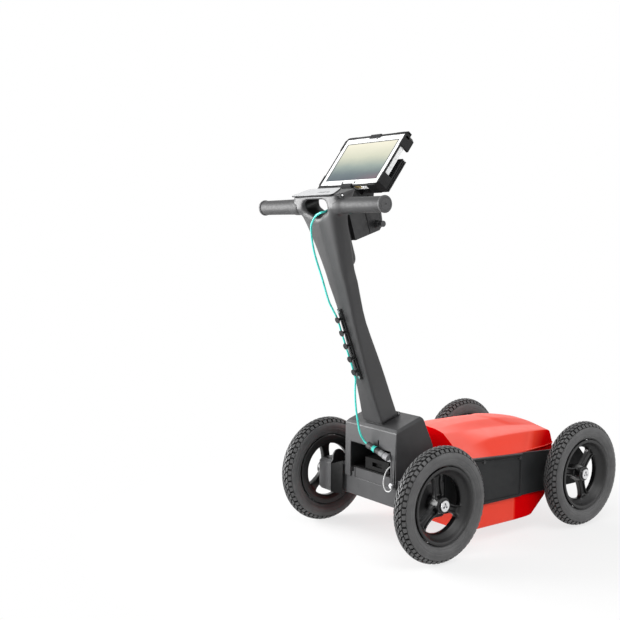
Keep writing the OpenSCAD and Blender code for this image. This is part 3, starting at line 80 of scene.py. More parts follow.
# Screen frame, in mm: n into the tablet, t up its face from the lower edge
SCREEN_FOOT = (-433.062, 0, 1008.97)
SCREEN_UP = Vector((0.594823, 0, 0.803857))
SCREEN_BACK = Vector((0.803857, 0, -0.594823))
PICTURE_LOW, PICTURE_HIGH, PICTURE_HALF = 16.7, 153.5, 108.4


def axle(x, y, z):
    return Vector(((x + SHIFT) * MM, y * MM, z * MM))


def column(v, y, u):
    x = FOOT[0] + v * math.cos(LEAN) - u * math.sin(LEAN)
    z = FOOT[1] + v * math.sin(LEAN) + u * math.cos(LEAN)
    return axle(x, y, z)


def screen(n, y, t):
    return axle(*SCREEN_FOOT) + SCREEN_BACK * (n * MM) + SIDEWAYS * (y * MM) + SCREEN_UP * (t * MM)


# Camera, solved from the wheels
SENSOR, LENS, FAR_CLIP = 36.0, 54.72, 60.0
CAMERA_AT = (-2072.45, -2000.72, 863.48)
CAMERA_LOOK = Vector((0.60267, 0.79439, -0.07573))
CAMERA_RIGHT = Vector((0.79668, -0.60441, 0.0))
CAMERA_UP = Vector((0.04577, 0.06033, 0.99713))
CAMERA_ROLL = 0.0108


def add_camera():
    data = bpy.data.cameras.new("camera")
    data.sensor_width = SENSOR
    data.lens = LENS
    data.clip_end = FAR_CLIP
    obj = bpy.data.objects.new("camera", data)
    SCENE.collection.objects.link(obj)
    side = CAMERA_RIGHT * math.cos(CAMERA_ROLL) + CAMERA_UP * math.sin(CAMERA_ROLL)
    top = CAMERA_UP * math.cos(CAMERA_ROLL) - CAMERA_RIGHT * math.sin(CAMERA_ROLL)
    place = Matrix((side, top, -CAMERA_LOOK)).transposed().to_4x4()
    place.translation = axle(*CAMERA_AT)
    obj.matrix_world = place
    SCENE.camera = obj


add_camera()
SCENE.view_settings.view_transform = "Standard"


# Node trees
class Nodes:
    def __init__(self, tree):
        self.tree = tree

    def put(self, socket, value):
        if isinstance(value, bpy.types.NodeSocket):
            self.tree.links.new(value, socket)
        else:
            socket.default_value = value

    def add(self, kind, inputs=None, **settings):
        node = self.tree.nodes.new(kind)
        for key, value in settings.items():
            setattr(node, key, value)
        for key, value in (inputs or {}).items():
            self.put(node.inputs[key], value)
        return node

    def math(self, op, a, b=0.0):
        return self.add("ShaderNodeMath", {0: a, 1: b}, operation=op).outputs["Value"]

    def vector(self, op, a, b=(0, 0, 0)):
        return self.add("ShaderNodeVectorMath", {0: a, 1: b}, operation=op).outputs

    def length(self, vector):
        return self.vector("LENGTH", vector)["Value"]

    # From low to high, as the factor goes from start to end
    def span(self, fac, low, high, start=0.3, end=0.7, **settings):
        limits = {"Value": fac, "From Min": start, "From Max": end, "To Min": low, "To Max": high}
        return self.add("ShaderNodeMapRange", limits, **settings).outputs["Result"]

    def shader_mix(self, fac, one, two):
        return self.add("ShaderNodeMixShader", {"Fac": fac, 1: one, 2: two}).outputs["Shader"]

    # 1 for a ray that shows the surface, 0 for one that only carries light
    def shown(self):
        ray = self.add("ShaderNodeLightPath").outputs
        seen = self.math("MAXIMUM", ray["Is Camera Ray"], ray["Is Glossy Ray"])
        return self.math("MAXIMUM", seen, ray["Is Transmission Ray"])


# One material's nodes
class Graph(Nodes):
    def __init__(self, name):
        self.mat = bpy.data.materials.new(name)
        self.mat.use_nodes = True
        super().__init__(self.mat.node_tree)
        self.bsdf = self.tree.nodes["Principled BSDF"]
        self.coords = self.add("ShaderNodeTexCoord").outputs
        self.coord = self.coords["Object"]

    def scaled(self, scale):
        return self.add("ShaderNodeMapping", {"Vector": self.coord, "Scale": scale}).outputs["Vector"]

    def split(self, kind="Object"):
        return self.add("ShaderNodeSeparateXYZ", {"Vector": self.coords[kind]}).outputs

    def noise(self, scale, detail=3.0, rough=0.55, vector=None):
        inputs = {"Vector": vector or self.coord, "Scale": scale, "Detail": detail, "Roughness": rough}
        return self.add("ShaderNodeTexNoise", inputs).outputs["Fac"]

    def cells(self, scale):
        return self.add("ShaderNodeTexVoronoi", {"Vector": self.coord, "Scale": scale}).outputs["Distance"]

    def drift(self, noise, amount):
        return self.math("MULTIPLY", self.math("SUBTRACT", noise, 0.5), amount)

    def ramp(self, fac, stops):
        node = self.add("ShaderNodeValToRGB", {"Fac": fac})
        items = node.color_ramp.elements
        while len(items) < len(stops):
            items.new(0.5)
        for item, (at, colour) in zip(items, stops):
            item.position = at
            item.color = (*colour, 1.0)
        return node.outputs["Color"]

    def mix(self, fac, one, two):
        return self.add("ShaderNodeMix", {0: fac, 6: one, 7: two}, data_type="RGBA").outputs[2]

    def bump(self, height, strength, distance):
        inputs = {"Height": height, "Strength": strength, "Distance": distance}
        return self.add("ShaderNodeBump", inputs).outputs["Normal"]

    def hypot(self, a, b):
        return self.math("SQRT", self.math("ADD", self.math("MULTIPLY", a, a), self.math("MULTIPLY", b, b)))

    # How far a share from 0 to 1 is from its middle, from 0 to 1
    def from_middle(self, share):
        return self.math("ABSOLUTE", self.span(share, -1.0, 1.0, 0.0, 1.0))

    # From 0 to 1 between two points, measured along a direction
    def along(self, way, start, end):
        dot = self.vector("DOT_PRODUCT", self.coord, way)["Value"]
        return self.span(dot, 0.0, 1.0, start.dot(way), end.dot(way))

    # Distance from an axis
    def off(self, centre, way):
        shift = self.vector("SUBTRACT", self.coord, centre)["Vector"]
        return self.length(self.vector("CROSS_PRODUCT", shift, way)["Vector"])

    # Distance from the middle plane
    def across(self):
        return self.math("ABSOLUTE", self.split()["Y"])

    # Distance from the nearest axle
    def wheel_radius(self):
        at = self.split()
        x = self.math("ABSOLUTE", self.math("SUBTRACT", at["X"], SHIFT * MM))
        x = self.math("SUBTRACT", x, WHEEL_X * MM)
        return self.hypot(x, self.math("SUBTRACT", at["Z"], WHEEL_Z * MM))

    def done(self, **values):
        for key, value in values.items():
            self.put(self.bsdf.inputs[key.replace("_", " ")], value)
        return self.mat


# Kinds of finish
def tint(colour, share):
    return [c * share for c in colour]


def surface(name, dark, light, rough, scale=30.0, grain=900.0, bump=0.12, depth=0.0004, **values):
    g = Graph(name)
    return g.done(Base_Color=g.ramp(g.noise(scale, 4.0), [(0.3, dark), (0.7, light)]),
                  Roughness=g.span(g.noise(scale * 3.0), *rough),
                  Normal=g.bump(g.noise(grain, 2.0), bump, depth), **values)


def brushed(name, dark, light, rough, stretch=(30.0, 900.0, 900.0)):
    g = Graph(name)
    lines = g.noise(1.0, 4.0, 0.6, g.scaled(stretch))
    return g.done(Base_Color=g.ramp(lines, [(0.3, dark), (0.7, light)]), Roughness=g.span(lines, *rough),
                  Normal=g.bump(lines, 0.1, 0.0002), Metallic=1.0)


def dimpled(name, dark, light, rough, size, depth):
    g = Graph(name)
    return g.done(Base_Color=g.ramp(g.noise(40.0, 4.0), [(0.3, dark), (0.7, light)]),
                  Roughness=g.span(g.noise(120.0), *rough),
                  Normal=g.bump(g.cells(1.0 / size), 0.35, depth), Specular_IOR_Level=0.15)


# One colour where the switch gives 0 and another where it gives 1
def two_tone(name, one, two, rough, switch):
    g = Graph(name)
    fac = g.math("ADD", switch(g), g.drift(g.noise(40.0), 0.08))
    stops = [(0.0, tint(one, 0.85)), (0.45, one), (0.55, two), (1.0, tint(two, 1.15))]
    return g.done(Base_Color=g.ramp(fac, stops),
                  Roughness=g.span(g.noise(90.0), *rough),
                  Normal=g.bump(g.noise(900.0, 2.0), 0.12, 0.0003), Specular_IOR_Level=0.35)


# Red with painted shade, a deeper red where the switch gives 1, and a painted sheen, a paler red on faces
# that look up
def shell_red(name, switch):
    g = Graph(name)
    fac = g.math("ADD", switch(g), g.drift(g.noise(14.0, 4.0), 0.12))
    shade = g.ramp(fac, [(0.0, (0.93, 0.060, 0.030)), (0.12, (0.98, 0.074, 0.040)),
                         (0.9, (0.78, 0.002, 0.004)), (1.0, (0.72, 0.001, 0.003))])
    # Painted sheen: faces that look up get a paler red, less where the shade is painted
    upward = g.span(g.split("Normal")["Z"], 0.0, 1.0, 0.84, 0.985)
    painted_sheen = g.math("MULTIPLY", upward, g.span(fac, 1.0, 0.0, 0.1, 0.5))
    return g.done(Base_Color=g.mix(painted_sheen, shade, (1.0, 0.125, 0.088, 1)),
                  Roughness=g.span(g.noise(42.0), 0.42, 0.50),
                  Specular_IOR_Level=g.span(fac, 0.22, 0.0, 0.07, 0.36),
                  Normal=g.bump(g.noise(260.0, 2.0), 0.04, 0.0006))


# Finishes of single pieces
def lit_screen():
    g = Graph("screen_glow")
    climb = g.along(SCREEN_UP, screen(0, 0, PICTURE_LOW), screen(0, 0, PICTURE_HIGH))
    side = g.along(SIDEWAYS, screen(0, -PICTURE_HALF, 0), screen(0, PICTURE_HALF, 0))
    drift = g.drift(g.noise(1.0, 4.0, 0.5, g.scaled((30.0, 16.0, 30.0))), 0.1)
    shade = g.ramp(g.math("ADD", climb, drift), [
        (0.0, (0.060, 0.088, 0.112)), (0.16, (0.115, 0.160, 0.175)), (0.36, (0.30, 0.37, 0.33)),
        (0.62, (0.68, 0.69, 0.53)), (0.95, (0.93, 0.89, 0.70))
    ])
    corner = g.math("MULTIPLY", g.span(side, 1.0, 0.0, 0.05, 0.5), g.span(climb, 1.0, 0.0, 0.0, 0.22))
    blush = g.mix(g.math("MULTIPLY", corner, 0.55), shade, (0.30, 0.13, 0.17, 1))
    edge = g.math("MAXIMUM", g.from_middle(side), g.from_middle(climb))
    framed = g.mix(g.span(edge, 0.0, 1.0, 0.958, 0.966), blush, (0.05, 0.055, 0.06, 1))
    return g.done(Base_Color=(0.015, 0.016, 0.017, 1), Emission_Color=framed, Emission_Strength=0.92,
                  Roughness=g.span(g.noise(60.0), 0.1, 0.16), Specular_IOR_Level=0.3)


# Painted shade: near black between the tread's blocks; grey on top of them
def tyre_rubber():
    g = Graph("tyre_rubber")
    rise = g.math("DIVIDE", g.math("SUBTRACT", g.wheel_radius(), TYRE_MID * MM), TYRE_TALL * MM)
    wide = g.math("DIVIDE", g.math("SUBTRACT", g.across(), WHEEL_Y * MM), TYRE_HALF * MM)
    share = g.hypot(rise, wide)
    top = g.math("MULTIPLY", g.span(share, 0.0, 1.0, 0.86, 0.95), g.span(g.noise(35.0, 5.0), 0.7, 1.0))
    return g.done(Base_Color=g.ramp(top, [(0.0, (0.007, 0.007, 0.0075)), (0.7, (0.070, 0.070, 0.071)),
                                          (1.0, (0.100, 0.100, 0.101))]),
                  Roughness=g.span(g.noise(90.0), 0.40, 0.50),
                  Normal=g.bump(g.noise(500.0, 2.0), 0.1, 0.0003), Specular_IOR_Level=0.4)


# Darker spokes inside the rim's ring
def wheel_moulding():
    g = Graph("wheel_moulding")
    ring = g.span(g.wheel_radius(), 0.0, 1.0, 0.0815, 0.0835)
    ring = g.math("ADD", ring, g.math("MULTIPLY", g.noise(40.0), 0.05))
    return g.done(Base_Color=g.ramp(ring, [(0.05, (0.005, 0.005, 0.0055)), (0.95, (0.014, 0.014, 0.0145))]),
                  Roughness=g.span(ring, 0.3, 0.42, 0.0, 1.0),
                  Normal=g.bump(g.noise(300.0, 2.0), 0.03, 0.0004), Specular_IOR_Level=0.4)


# Black, with a teal band and a grey tip
def plug_finish():
    g = Graph("plug_finish")
    start, tip = axle(*PLUG_AT), axle(*PLUG_TO)
    bands = g.ramp(g.along((tip - start).normalized(), start, tip), [
        (0.0, (0.035, 0.035, 0.036)), (0.30, (0.05, 0.05, 0.052)),
        (0.34, (0.03, 0.42, 0.36)), (0.47, (0.04, 0.52, 0.45)),
        (0.5, (0.022, 0.022, 0.023)), (0.72, (0.03, 0.03, 0.031)),
        (0.75, (0.16, 0.165, 0.17)), (1.0, (0.22, 0.225, 0.23))
    ])
    return g.done(Base_Color=bands, Roughness=g.span(g.noise(200.0), 0.32, 0.48), Specular_IOR_Level=0.4)


# Dark bolts with bright heads
def axle_steel():
    g = Graph("axle_steel")
    head = g.span(g.across(), 0.0, 1.0, 0.262, 0.263)
    fac = g.math("ADD", head, g.math("MULTIPLY", g.noise(60.0), 0.06))
    return g.done(Base_Color=g.ramp(fac, [(0.0, (0.035, 0.035, 0.036)), (0.4, (0.05, 0.05, 0.052)),
                                          (0.6, (0.60, 0.60, 0.61)), (1.0, (0.72, 0.72, 0.73))]),
                  Roughness=g.span(g.noise(200.0), 0.24, 0.36), Metallic=1.0)


# Dimpled rubber with lighter end flanges
def grip_rubber():
    g = Graph("grip_rubber")
    flange = g.span(g.across(), 0.0, 1.0, 0.2545, 0.2555)
    fac = g.math("ADD", flange, g.math("MULTIPLY", g.noise(40.0, 4.0), 0.2))
    return g.done(Base_Color=g.ramp(fac, [(0.0, (0.028, 0.028, 0.029)), (0.25, (0.040, 0.040, 0.041)),
                                          (1.0, (0.070, 0.070, 0.072))]),
                  Roughness=g.span(g.noise(120.0), 0.48, 0.60),
                  Normal=g.bump(g.cells(420.0), 0.25, 0.0003), Specular_IOR_Level=0.32)


# Where the hood's red gets painted shade: its rear cap, and the steep sides of its nose
def hood_shade(g):
    way = Vector((1, 0, -CAP_RAKE)).normalized()
    cap = axle(HOOD_REAR, 0, SILL_REAR)
    rear = g.along(way, cap + way * 1.4 * MM, cap + way * 0.5 * MM)
    nose = g.along(Vector((1, 0, -1.6)).normalized(), axle(104, 0, 240), axle(232, 0, 240))
    steep = g.span(g.split("Normal")["Z"], 1.0, 0.0, 0.74, 0.94)
    return g.math("MAXIMUM", rear, g.math("MULTIPLY", nose, steep))


# Painted shade, near black, on the walls of the hand hole in the column's head: between its lower and upper
# edge, back and front, and sides
def hand_hole(g):
    fac = g.span(g.across(), 1.0, 0.0, 0.052, 0.054)
    for start, end in ((603, 607), (660, 657)):
        fac = g.math("MULTIPLY", fac, g.along(COLUMN_UP, column(0, 0, start), column(0, 0, end)))
    for start, end in ((-7, -1), (44, 41)):
        fac = g.math("MULTIPLY", fac, g.along(COLUMN_OUT, column(start, 0, 0), column(end, 0, 0)))
    return fac


# Materials
GREY = (0.043, 0.043, 0.0445)
MAT = {
    "red": shell_red("hood_red", hood_shade),
    # The tub's red gets painted shade, a deeper red, forward of the bend at its bow
    "tub": shell_red("tub_red", lambda g: g.along(Vector((1, 0, 0)), axle(48, 0, 0), axle(62, 0, 0))),
    "grey": surface("grey_plastic", tint(GREY, 0.88), tint(GREY, 1.12), (0.34, 0.44),
                    scale=22.0, grain=1100.0, bump=0.2, Specular_IOR_Level=0.28),
    "black": surface("black_plastic", (0.013, 0.013, 0.014), (0.020, 0.020, 0.021), (0.40, 0.52),
                     scale=25.0, grain=1000.0, bump=0.15, Specular_IOR_Level=0.16),
    # Painted shade: near black, for the piece between the encoder's box and the apron
    "shade": surface("shade_black_painted", (0.0020, 0.0020, 0.0021), (0.0036, 0.0036, 0.0037), (0.50, 0.60),
                     scale=25.0, grain=1000.0, bump=0.15, Specular_IOR_Level=0.10),
    "rail": surface("rail_plastic", (0.014, 0.015, 0.016), (0.021, 0.022, 0.023), (0.42, 0.54),
                    scale=18.0, grain=1000.0, bump=0.18, Specular_IOR_Level=0.2),
    "rim": wheel_moulding(),
    "tyre": tyre_rubber(),
    "grip": grip_rubber(),
    "guard": dimpled("guard_rubber", (0.007, 0.007, 0.0075), (0.013, 0.013, 0.0135), (0.40, 0.52),
                     size=0.0018, depth=0.0002),
    "steel": brushed("steel", (0.60, 0.60, 0.61), (0.76, 0.76, 0.77), (0.22, 0.34)),
    "dark_steel": surface("black_steel", (0.018, 0.018, 0.019), (0.03, 0.03, 0.031), (0.34, 0.46),
                          scale=40.0, grain=700.0, bump=0.1, Specular_IOR_Level=0.4),
    "alloy": brushed("alloy", (0.50, 0.51, 0.52), (0.62, 0.63, 0.64), (0.3, 0.42), (900.0, 30.0, 900.0)),
    "plate": two_tone("plate_finish", (0.02, 0.02, 0.021), (0.46, 0.465, 0.47), (0.42, 0.52),
                      lambda g: g.along(COLUMN_UP, column(0, 0, 669.7), column(0, 0, 670.3))),
    # Column: grey, with painted shade inside the hand hole
    "column": two_tone("column_grey_hole_shade", GREY, (0.006, 0.006, 0.006), (0.34, 0.44), hand_hole),
    "pad": surface("pad_grey", (0.20, 0.20, 0.21), (0.28, 0.28, 0.29), (0.4, 0.5), scale=40.0, bump=0.1),
    # Battery and bay tray: black, made darker as painted shade of the bay's recess
    "cell": surface("cell_black_recess_shade", (0.004, 0.004, 0.004), (0.008, 0.008, 0.008), (0.55, 0.65),
                    bump=0.15, Specular_IOR_Level=0.08),
    "white": surface("tablet_white", (0.78, 0.79, 0.79), (0.84, 0.84, 0.84), (0.36, 0.46),
                     scale=20.0, bump=0.08),
    "screen": lit_screen(),
    "teal": surface("teal_sheath", (0.045, 0.56, 0.48), (0.065, 0.66, 0.57), (0.3, 0.4),
                    scale=60.0, grain=500.0, bump=0.05),
    "wire": surface("white_sheath", (0.42, 0.42, 0.42), (0.52, 0.52, 0.52), (0.3, 0.4),
                    scale=80.0, grain=600.0, bump=0.08),
    "foam": surface("absorber_foam", (0.012, 0.012, 0.012), (0.03, 0.03, 0.03), (0.85, 0.95),
                    scale=90.0, grain=350.0, bump=0.6, depth=0.001),
    "copper": brushed("copper", (0.55, 0.26, 0.13), (0.70, 0.36, 0.20), (0.28, 0.4)),
    "gold": brushed("contact_gold", (0.62, 0.45, 0.16), (0.75, 0.58, 0.25), (0.25, 0.35)),
    "plug": plug_finish(),
    "bracket": two_tone("bracket_finish", (0.05, 0.05, 0.052), (0.016, 0.016, 0.017), (0.4, 0.5),
                        lambda g: g.along(COLUMN_OUT, column(64, 0, 0), column(66, 0, 0))),
    # Encoder box: painted light and shade, lighter grey on faces turned to the rear and near black on all
    # other faces
    "cover": two_tone("encoder_lit_and_shaded", (0.15, 0.15, 0.154), (0.006, 0.006, 0.0065), (0.34, 0.44),
                      lambda g: g.span(g.split("Normal")["X"], 0.0, 1.0, -0.8, -0.5)),
    "lever": two_tone("lever_finish", (0.045, 0.045, 0.047), (0.075, 0.075, 0.078), (0.34, 0.44),
                      lambda g: g.span(g.off(column(147, -65, 542), SIDEWAYS), 0.0, 1.0, 0.0092, 0.0098)),
    "axle": axle_steel(),
}

# The CAD nodes in each material
FINISH = {
    "red": ["antenna_hood"],
    "tub": ["antenna_tub"],
    "grey": ["rear_chassis", "tower_shell", "right_axle_carrier"],
    "column": ["column_shell"],
    "cell": ["battery_pack", "bay_tray"],
    "cover": ["encoder_housing", "encoder_cover"],
    "plug": ["cable_plug"],
    "bracket": ["display_bracket"],
    "lever": ["clamp_lever"],
    "rail": ["left_side_rail", "right_side_rail", "left_front_carrier", "right_front_carrier"],
    "black": ["cable_pegboard", "display_arm", "dock_plate", "tablet_battery", "head_knob", "dock_latch",
              "encoder_sensor", "tablet_key_left", "tablet_key_right"],
    "rim": [name + "_rim" for name in WHEELS],
    "tyre": [name + "_tyre" for name in WHEELS],
    "grip": ["left_grip", "right_grip"],
    "guard": ["corner_guards"],
    "axle": ["wheel_axles"],
    "steel": ["column_screws", "hinge_pin", "lock_pin"],
    "alloy": ["encoder_disc", "radar_module"],
    "pad": ["bay_socket"],
    "plate": ["head_plate"],
    "dark_steel": ["hinge_base_leaf", "hinge_column_leaf", "handle_tubes", "chassis_screws"]
                  + [name + "_bearings" for name in WHEELS],
    "white": ["tablet_body"],
    "screen": ["tablet_glass"],
    "teal": ["data_cable_upper", "data_cable_lower"],
    "wire": ["pin_lanyard"],
    "copper": ["bowtie_antennas"],
    "foam": ["rf_absorber"],
}
for key, names in FINISH.items():
    for name in names:
        data = NODES[name].data
        data.materials.clear()
        data.materials.append(MAT[key])


# Making pieces
def piece(name, mesh, body, key, replaces=(), sharp=None):
    mesh.name = name
    obj = bpy.data.objects.new(name, mesh)
    SCENE.collection.objects.link(obj)
    mesh.materials.clear()
    mesh.materials.append(MAT[key])
    mesh.shade_smooth()
    if sharp:
        mesh.set_sharp_from_angle(angle=math.radians(sharp))
    if replaces:
        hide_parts(*replaces)
    if body:
        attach(obj, body)
    return obj


def mesh_from(points, faces):
    mesh = bpy.data.meshes.new("mesh")
    mesh.from_pydata([tuple(p) for p in points], [], faces)
    mesh.update()
    return mesh


def mesh_of(grid):
    mesh = bpy.data.meshes.new("mesh")
    grid.to_mesh(mesh)
    grid.free()
    return mesh


# Turns every face outward
def outward(mesh):
    grid = bmesh.new()
    grid.from_mesh(mesh)
    bmesh.ops.recalc_face_normals(grid, faces=grid.faces)
    grid.to_mesh(mesh)
    grid.free()
    return mesh


# Faces between rings that have the same number of points
def skin(rings, wide, looped=False, open_rings=False):
    faces = []
    for i in range(rings if looped else rings - 1):
        j = (i + 1) % rings
        for k in range(wide - 1 if open_rings else wide):
            n = (k + 1) % wide
            faces.append((i * wide + k, i * wide + n, j * wide + n, j * wide + k))
    return faces


# The faces that close the first and the last ring
def ends(rings, wide, flip=False):
    first, last = range(wide), range((rings - 1) * wide, rings * wide)
    return [tuple(first), tuple(reversed(last))] if flip else [tuple(reversed(first)), tuple(last)]


def step(value, low, high):
    t = min(max((value - low) / (high - low), 0), 1)
    return t * t * (3 - 2 * t)


# A smooth curve through every point of a route
def curve_points(route, steps):
    out = []
    for i in range(len(route) - 1):
        a, b, c, d = (route[min(max(k, 0), len(route) - 1)] for k in (i - 1, i, i + 1, i + 2))
        for k in range(steps):
            t = k / steps
            out.append((2 * b + (c - a) * t + (2 * a - 5 * b + 4 * c - d) * t * t
                        + (3 * b - a - 3 * c + d) * t * t * t) / 2)
    return out + [route[-1]]


# A round bar along a path, with one radius or one for each point, in mm
def tube(path, radius, sides=14, closed=False):
    count = len(path)
    radii = radius if isinstance(radius, list) else [radius] * count
    ways = []
    for i in range(count):
        low = path[(i - 1) % count] if closed or i > 0 else path[i]
        high = path[(i + 1) % count] if closed or i < count - 1 else path[i]
        ways.append((high - low).normalized())
    guide = ways[0].orthogonal().normalized()
    points = []
    for at, way, r in zip(path, ways, radii):
        guide = (guide - way * guide.dot(way)).normalized()
        other = way.cross(guide)
        for k in range(sides):
            a = 2 * math.pi * k / sides
            points.append(at + (guide * math.cos(a) + other * math.sin(a)) * (r * MM))
    faces = skin(count, sides, looped=closed)
    return mesh_from(points, faces if closed else faces + ends(count, sides))


# A turned shape: heights along its axis and radii, in mm, with the least radius in m
THIN = 1e-5


def lathe(profile, origin, way, steps):
    way = way.normalized()
    one = way.orthogonal().normalized()
    two = way.cross(one)
    points = []
    for h, r in profile:
        for k in range(steps):
            a = 2 * math.pi * k / steps
            out = one * math.cos(a) + two * math.sin(a)
            points.append(origin + way * (h * MM) + out * max(r * MM, THIN))
    return mesh_from(points, skin(len(profile), steps) + ends(len(profile), steps))


# Cords: the data cable's two runs and the pin's lanyard
CABLE_R, WIRE_R = 2.75, 1.75
CORD_STEPS = 6
HEAD_TOP = 668
PEG_V, PEG_MID, PEG_PITCH, PEG_SLANT = -12, (16.8, 239), 39, math.radians(5)
CABLE_TAIL = 15
# Across the head and down from its top, then along the column, in the column frame
HEAD = [(76, -32, 74), (75, -33, 61), (66, -33, 49), (49, -33, 43), (28, -34, 42), (8, -35, 42),
        (-10, -36, 43), (-18, -36, 42), (-21.5, -27, 44), (-22.5, -13, 49), (-23.5, 0, 58), (-28, 13, 76),
        (-31, 20, 106), (-32, 24, 143), (-31, 25, 174), (-29, 23, 225)]
WAIST = [(-25, 25, 378), (-18, 25, 346)]
# From the last peg to the plug, as offsets from the plug
LOWER = [(-35, 17.5, 178), (-35.5, 17.5, 161), (-35, 17.5, 142), (-32, 17.5, 110), (-27.5, 17.5, 84),
         (-21.5, 17.5, 56), (-14.5, 16.5, 30), (-6, 14, 14), (-2.5, 10, 6.5), (0, 0, 0)]
# From the bay's socket to the lock pin: offsets in x and y, and shares of the loop's height
PIN_AT, LOOP_TALL = (-335, -100, 184), 61
LOOP = [(7.5, 5, 1), (7.5, 6, .9), (7.5, 13, .82), (2, 20, .74), (-5, 24, .57), (-10, 26, .33),
        (-13, 26, .1), (-14, 22, -.13), (-14, 13, -.26), (-13.5, 2, -.26), (-12.5, -5.5, -.16),
        (-12.3, -5, -.03), (-12.3, 1, .016)]


def peg(k):
    far = k * PEG_PITCH
    return (PEG_V, PEG_MID[0] + far * math.sin(PEG_SLANT), PEG_MID[1] + far * math.cos(PEG_SLANT))


pegs = [peg(k) for k in (2, 1, 0, -1, -2)]
cable_end = (pegs[-1][0], pegs[-1][1], pegs[-1][2] - CABLE_TAIL)
upper_route = [column(v, y, HEAD_TOP - d) for v, y, d in HEAD]
upper_route += [column(*p) for p in WAIST + pegs + [cable_end]]
lower_route = [column(cable_end[0], cable_end[1], cable_end[2] - d) for d in (0.4, 7)]
lower_route += [axle(*(a + b for a, b in zip(PLUG_AT, p))) for p in LOWER]
pin_route = [axle(PIN_AT[0] + x, PIN_AT[1] + y, PIN_AT[2] + LOOP_TALL * s) for x, y, s in LOOP]
upper_path = curve_points(upper_route, CORD_STEPS)
lower_path = curve_points(lower_route, CORD_STEPS)
pin_path = curve_points(pin_route, CORD_STEPS)

upper_cable = piece("cable_upper_run", tube(upper_path, CABLE_R), "column", "teal", ["data_cable_upper"],
                    sharp=60)
lower_cable = piece("cable_lower_run", tube(lower_path, CABLE_R), None, "teal", ["data_cable_lower"],
                    sharp=60)
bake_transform(lower_cable)
pin_wire = piece("pin_wire", tube(pin_path, WIRE_R), None, "wire", ["pin_lanyard"], sharp=60)
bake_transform(pin_wire)

# Softened CAD edges, as modifiers
WELD_GAP = 0.00002
BEVEL_FROM = math.radians(32)


def add_weld(obj):
    obj.modifiers.new("weld", "WELD").merge_threshold = WELD_GAP


def soften(width, names, segments=2):
    for name in names:
        add_weld(NODES[name])
        bevel = NODES[name].modifiers.new("bevel", "BEVEL")
        bevel.width = width * MM
        bevel.segments = segments
        bevel.limit_method = "ANGLE"
        bevel.angle_limit = BEVEL_FROM
        bevel.use_clamp_overlap = False
        bevel.harden_normals = True
        bevel.miter_outer = "MITER_ARC"


soften(1.8, ["tower_shell", "rear_chassis", "encoder_housing", "encoder_cover", "right_axle_carrier"], 3)
soften(1.0, ["left_front_carrier", "right_front_carrier", "display_bracket", "tablet_battery",
             "corner_guards", "battery_pack", "dock_plate"])
soften(0.5, ["cable_pegboard", "dock_latch"])


# Moulded pieces with flowing fillets: a remeshed copy, each point drawn to its neighbours' mean
def relaxed(name, voxel, rounds, weight):
    holder = bpy.data.objects.new("holder", NODES[name].data.copy())
    SCENE.collection.objects.link(holder)
    add_weld(holder)
    remesh = holder.modifiers.new("remesh", "REMESH")
    remesh.mode = "VOXEL"
    remesh.voxel_size = voxel * MM
    bpy.context.view_layer.update()
    mesh = bpy.data.meshes.new_from_object(holder.evaluated_get(bpy.context.evaluated_depsgraph_get()))
    bpy.data.objects.remove(holder)
    count = len(mesh.vertices)
    flat = np.empty(count * 3)
    mesh.vertices.foreach_get("co", flat)
    place = flat.reshape(-1, 3)
    pairs = np.empty(len(mesh.edges) * 2, np.int32)
    mesh.edges.foreach_get("vertices", pairs)
    a, b = pairs[0::2], pairs[1::2]
    degree = np.bincount(pairs, minlength=count).astype(float)
    pull = weight(place)
    for _ in range(rounds):
        mean = np.empty_like(place)
        for axis in range(3):
            mean[:, axis] = np.bincount(a, place[b, axis], count) + np.bincount(b, place[a, axis], count)
        place = place + (mean / degree[:, None] - place) * pull[:, None]
    mesh.vertices.foreach_set("co", place.ravel())
    mesh.update()
    return mesh


# Stronger in the column's head, apart from the sleeves at its sides
def column_pull(place):
    x = place[:, 0] / MM - SHIFT - FOOT[0]
    z = place[:, 2] / MM - FOOT[1]
    u = z * math.cos(LEAN) - x * math.sin(LEAN)
    head = np.clip((u - 520) / 70, 0, 1) * np.clip((118 - np.abs(place[:, 1] / MM)) / 14, 0.05, 1)
    return 0.08 + 0.42 * head


# Stronger at the tub's bow, below the rails
def tub_pull(place):
    bow = np.clip((place[:, 0] / MM - SHIFT - 70) / 40, 0, 1) * np.clip((130 - place[:, 2] / MM) / 20, 0, 1)
    return 0.07 + 0.12 * bow


def rim_pull(place):
    return np.full(len(place), 0.45)


# The tub, with its bow drawn forward below the rails
TUB_BOW = 14


def tub_mesh():
    mesh = relaxed("antenna_tub", 3.0, 60, tub_pull)
    for v in mesh.vertices:
        v.co.x += TUB_BOW * MM * step(v.co.x / MM - SHIFT, 60, 110) * step(122 - v.co.z / MM, 0, 12)
    mesh.update()
    return mesh


piece("column_skin", relaxed("column_shell", 2.2, 60, column_pull), "column", "column", ["column_shell"])
piece("tub_skin", tub_mesh(), "chassis", "tub", ["antenna_tub"], sharp=50)
for name in WHEELS:
    piece(name + "_wheel_moulding", relaxed(name + "_rim", 2.0, 5, rim_pull), name + "_wheel", "rim",
          [name + "_rim"])

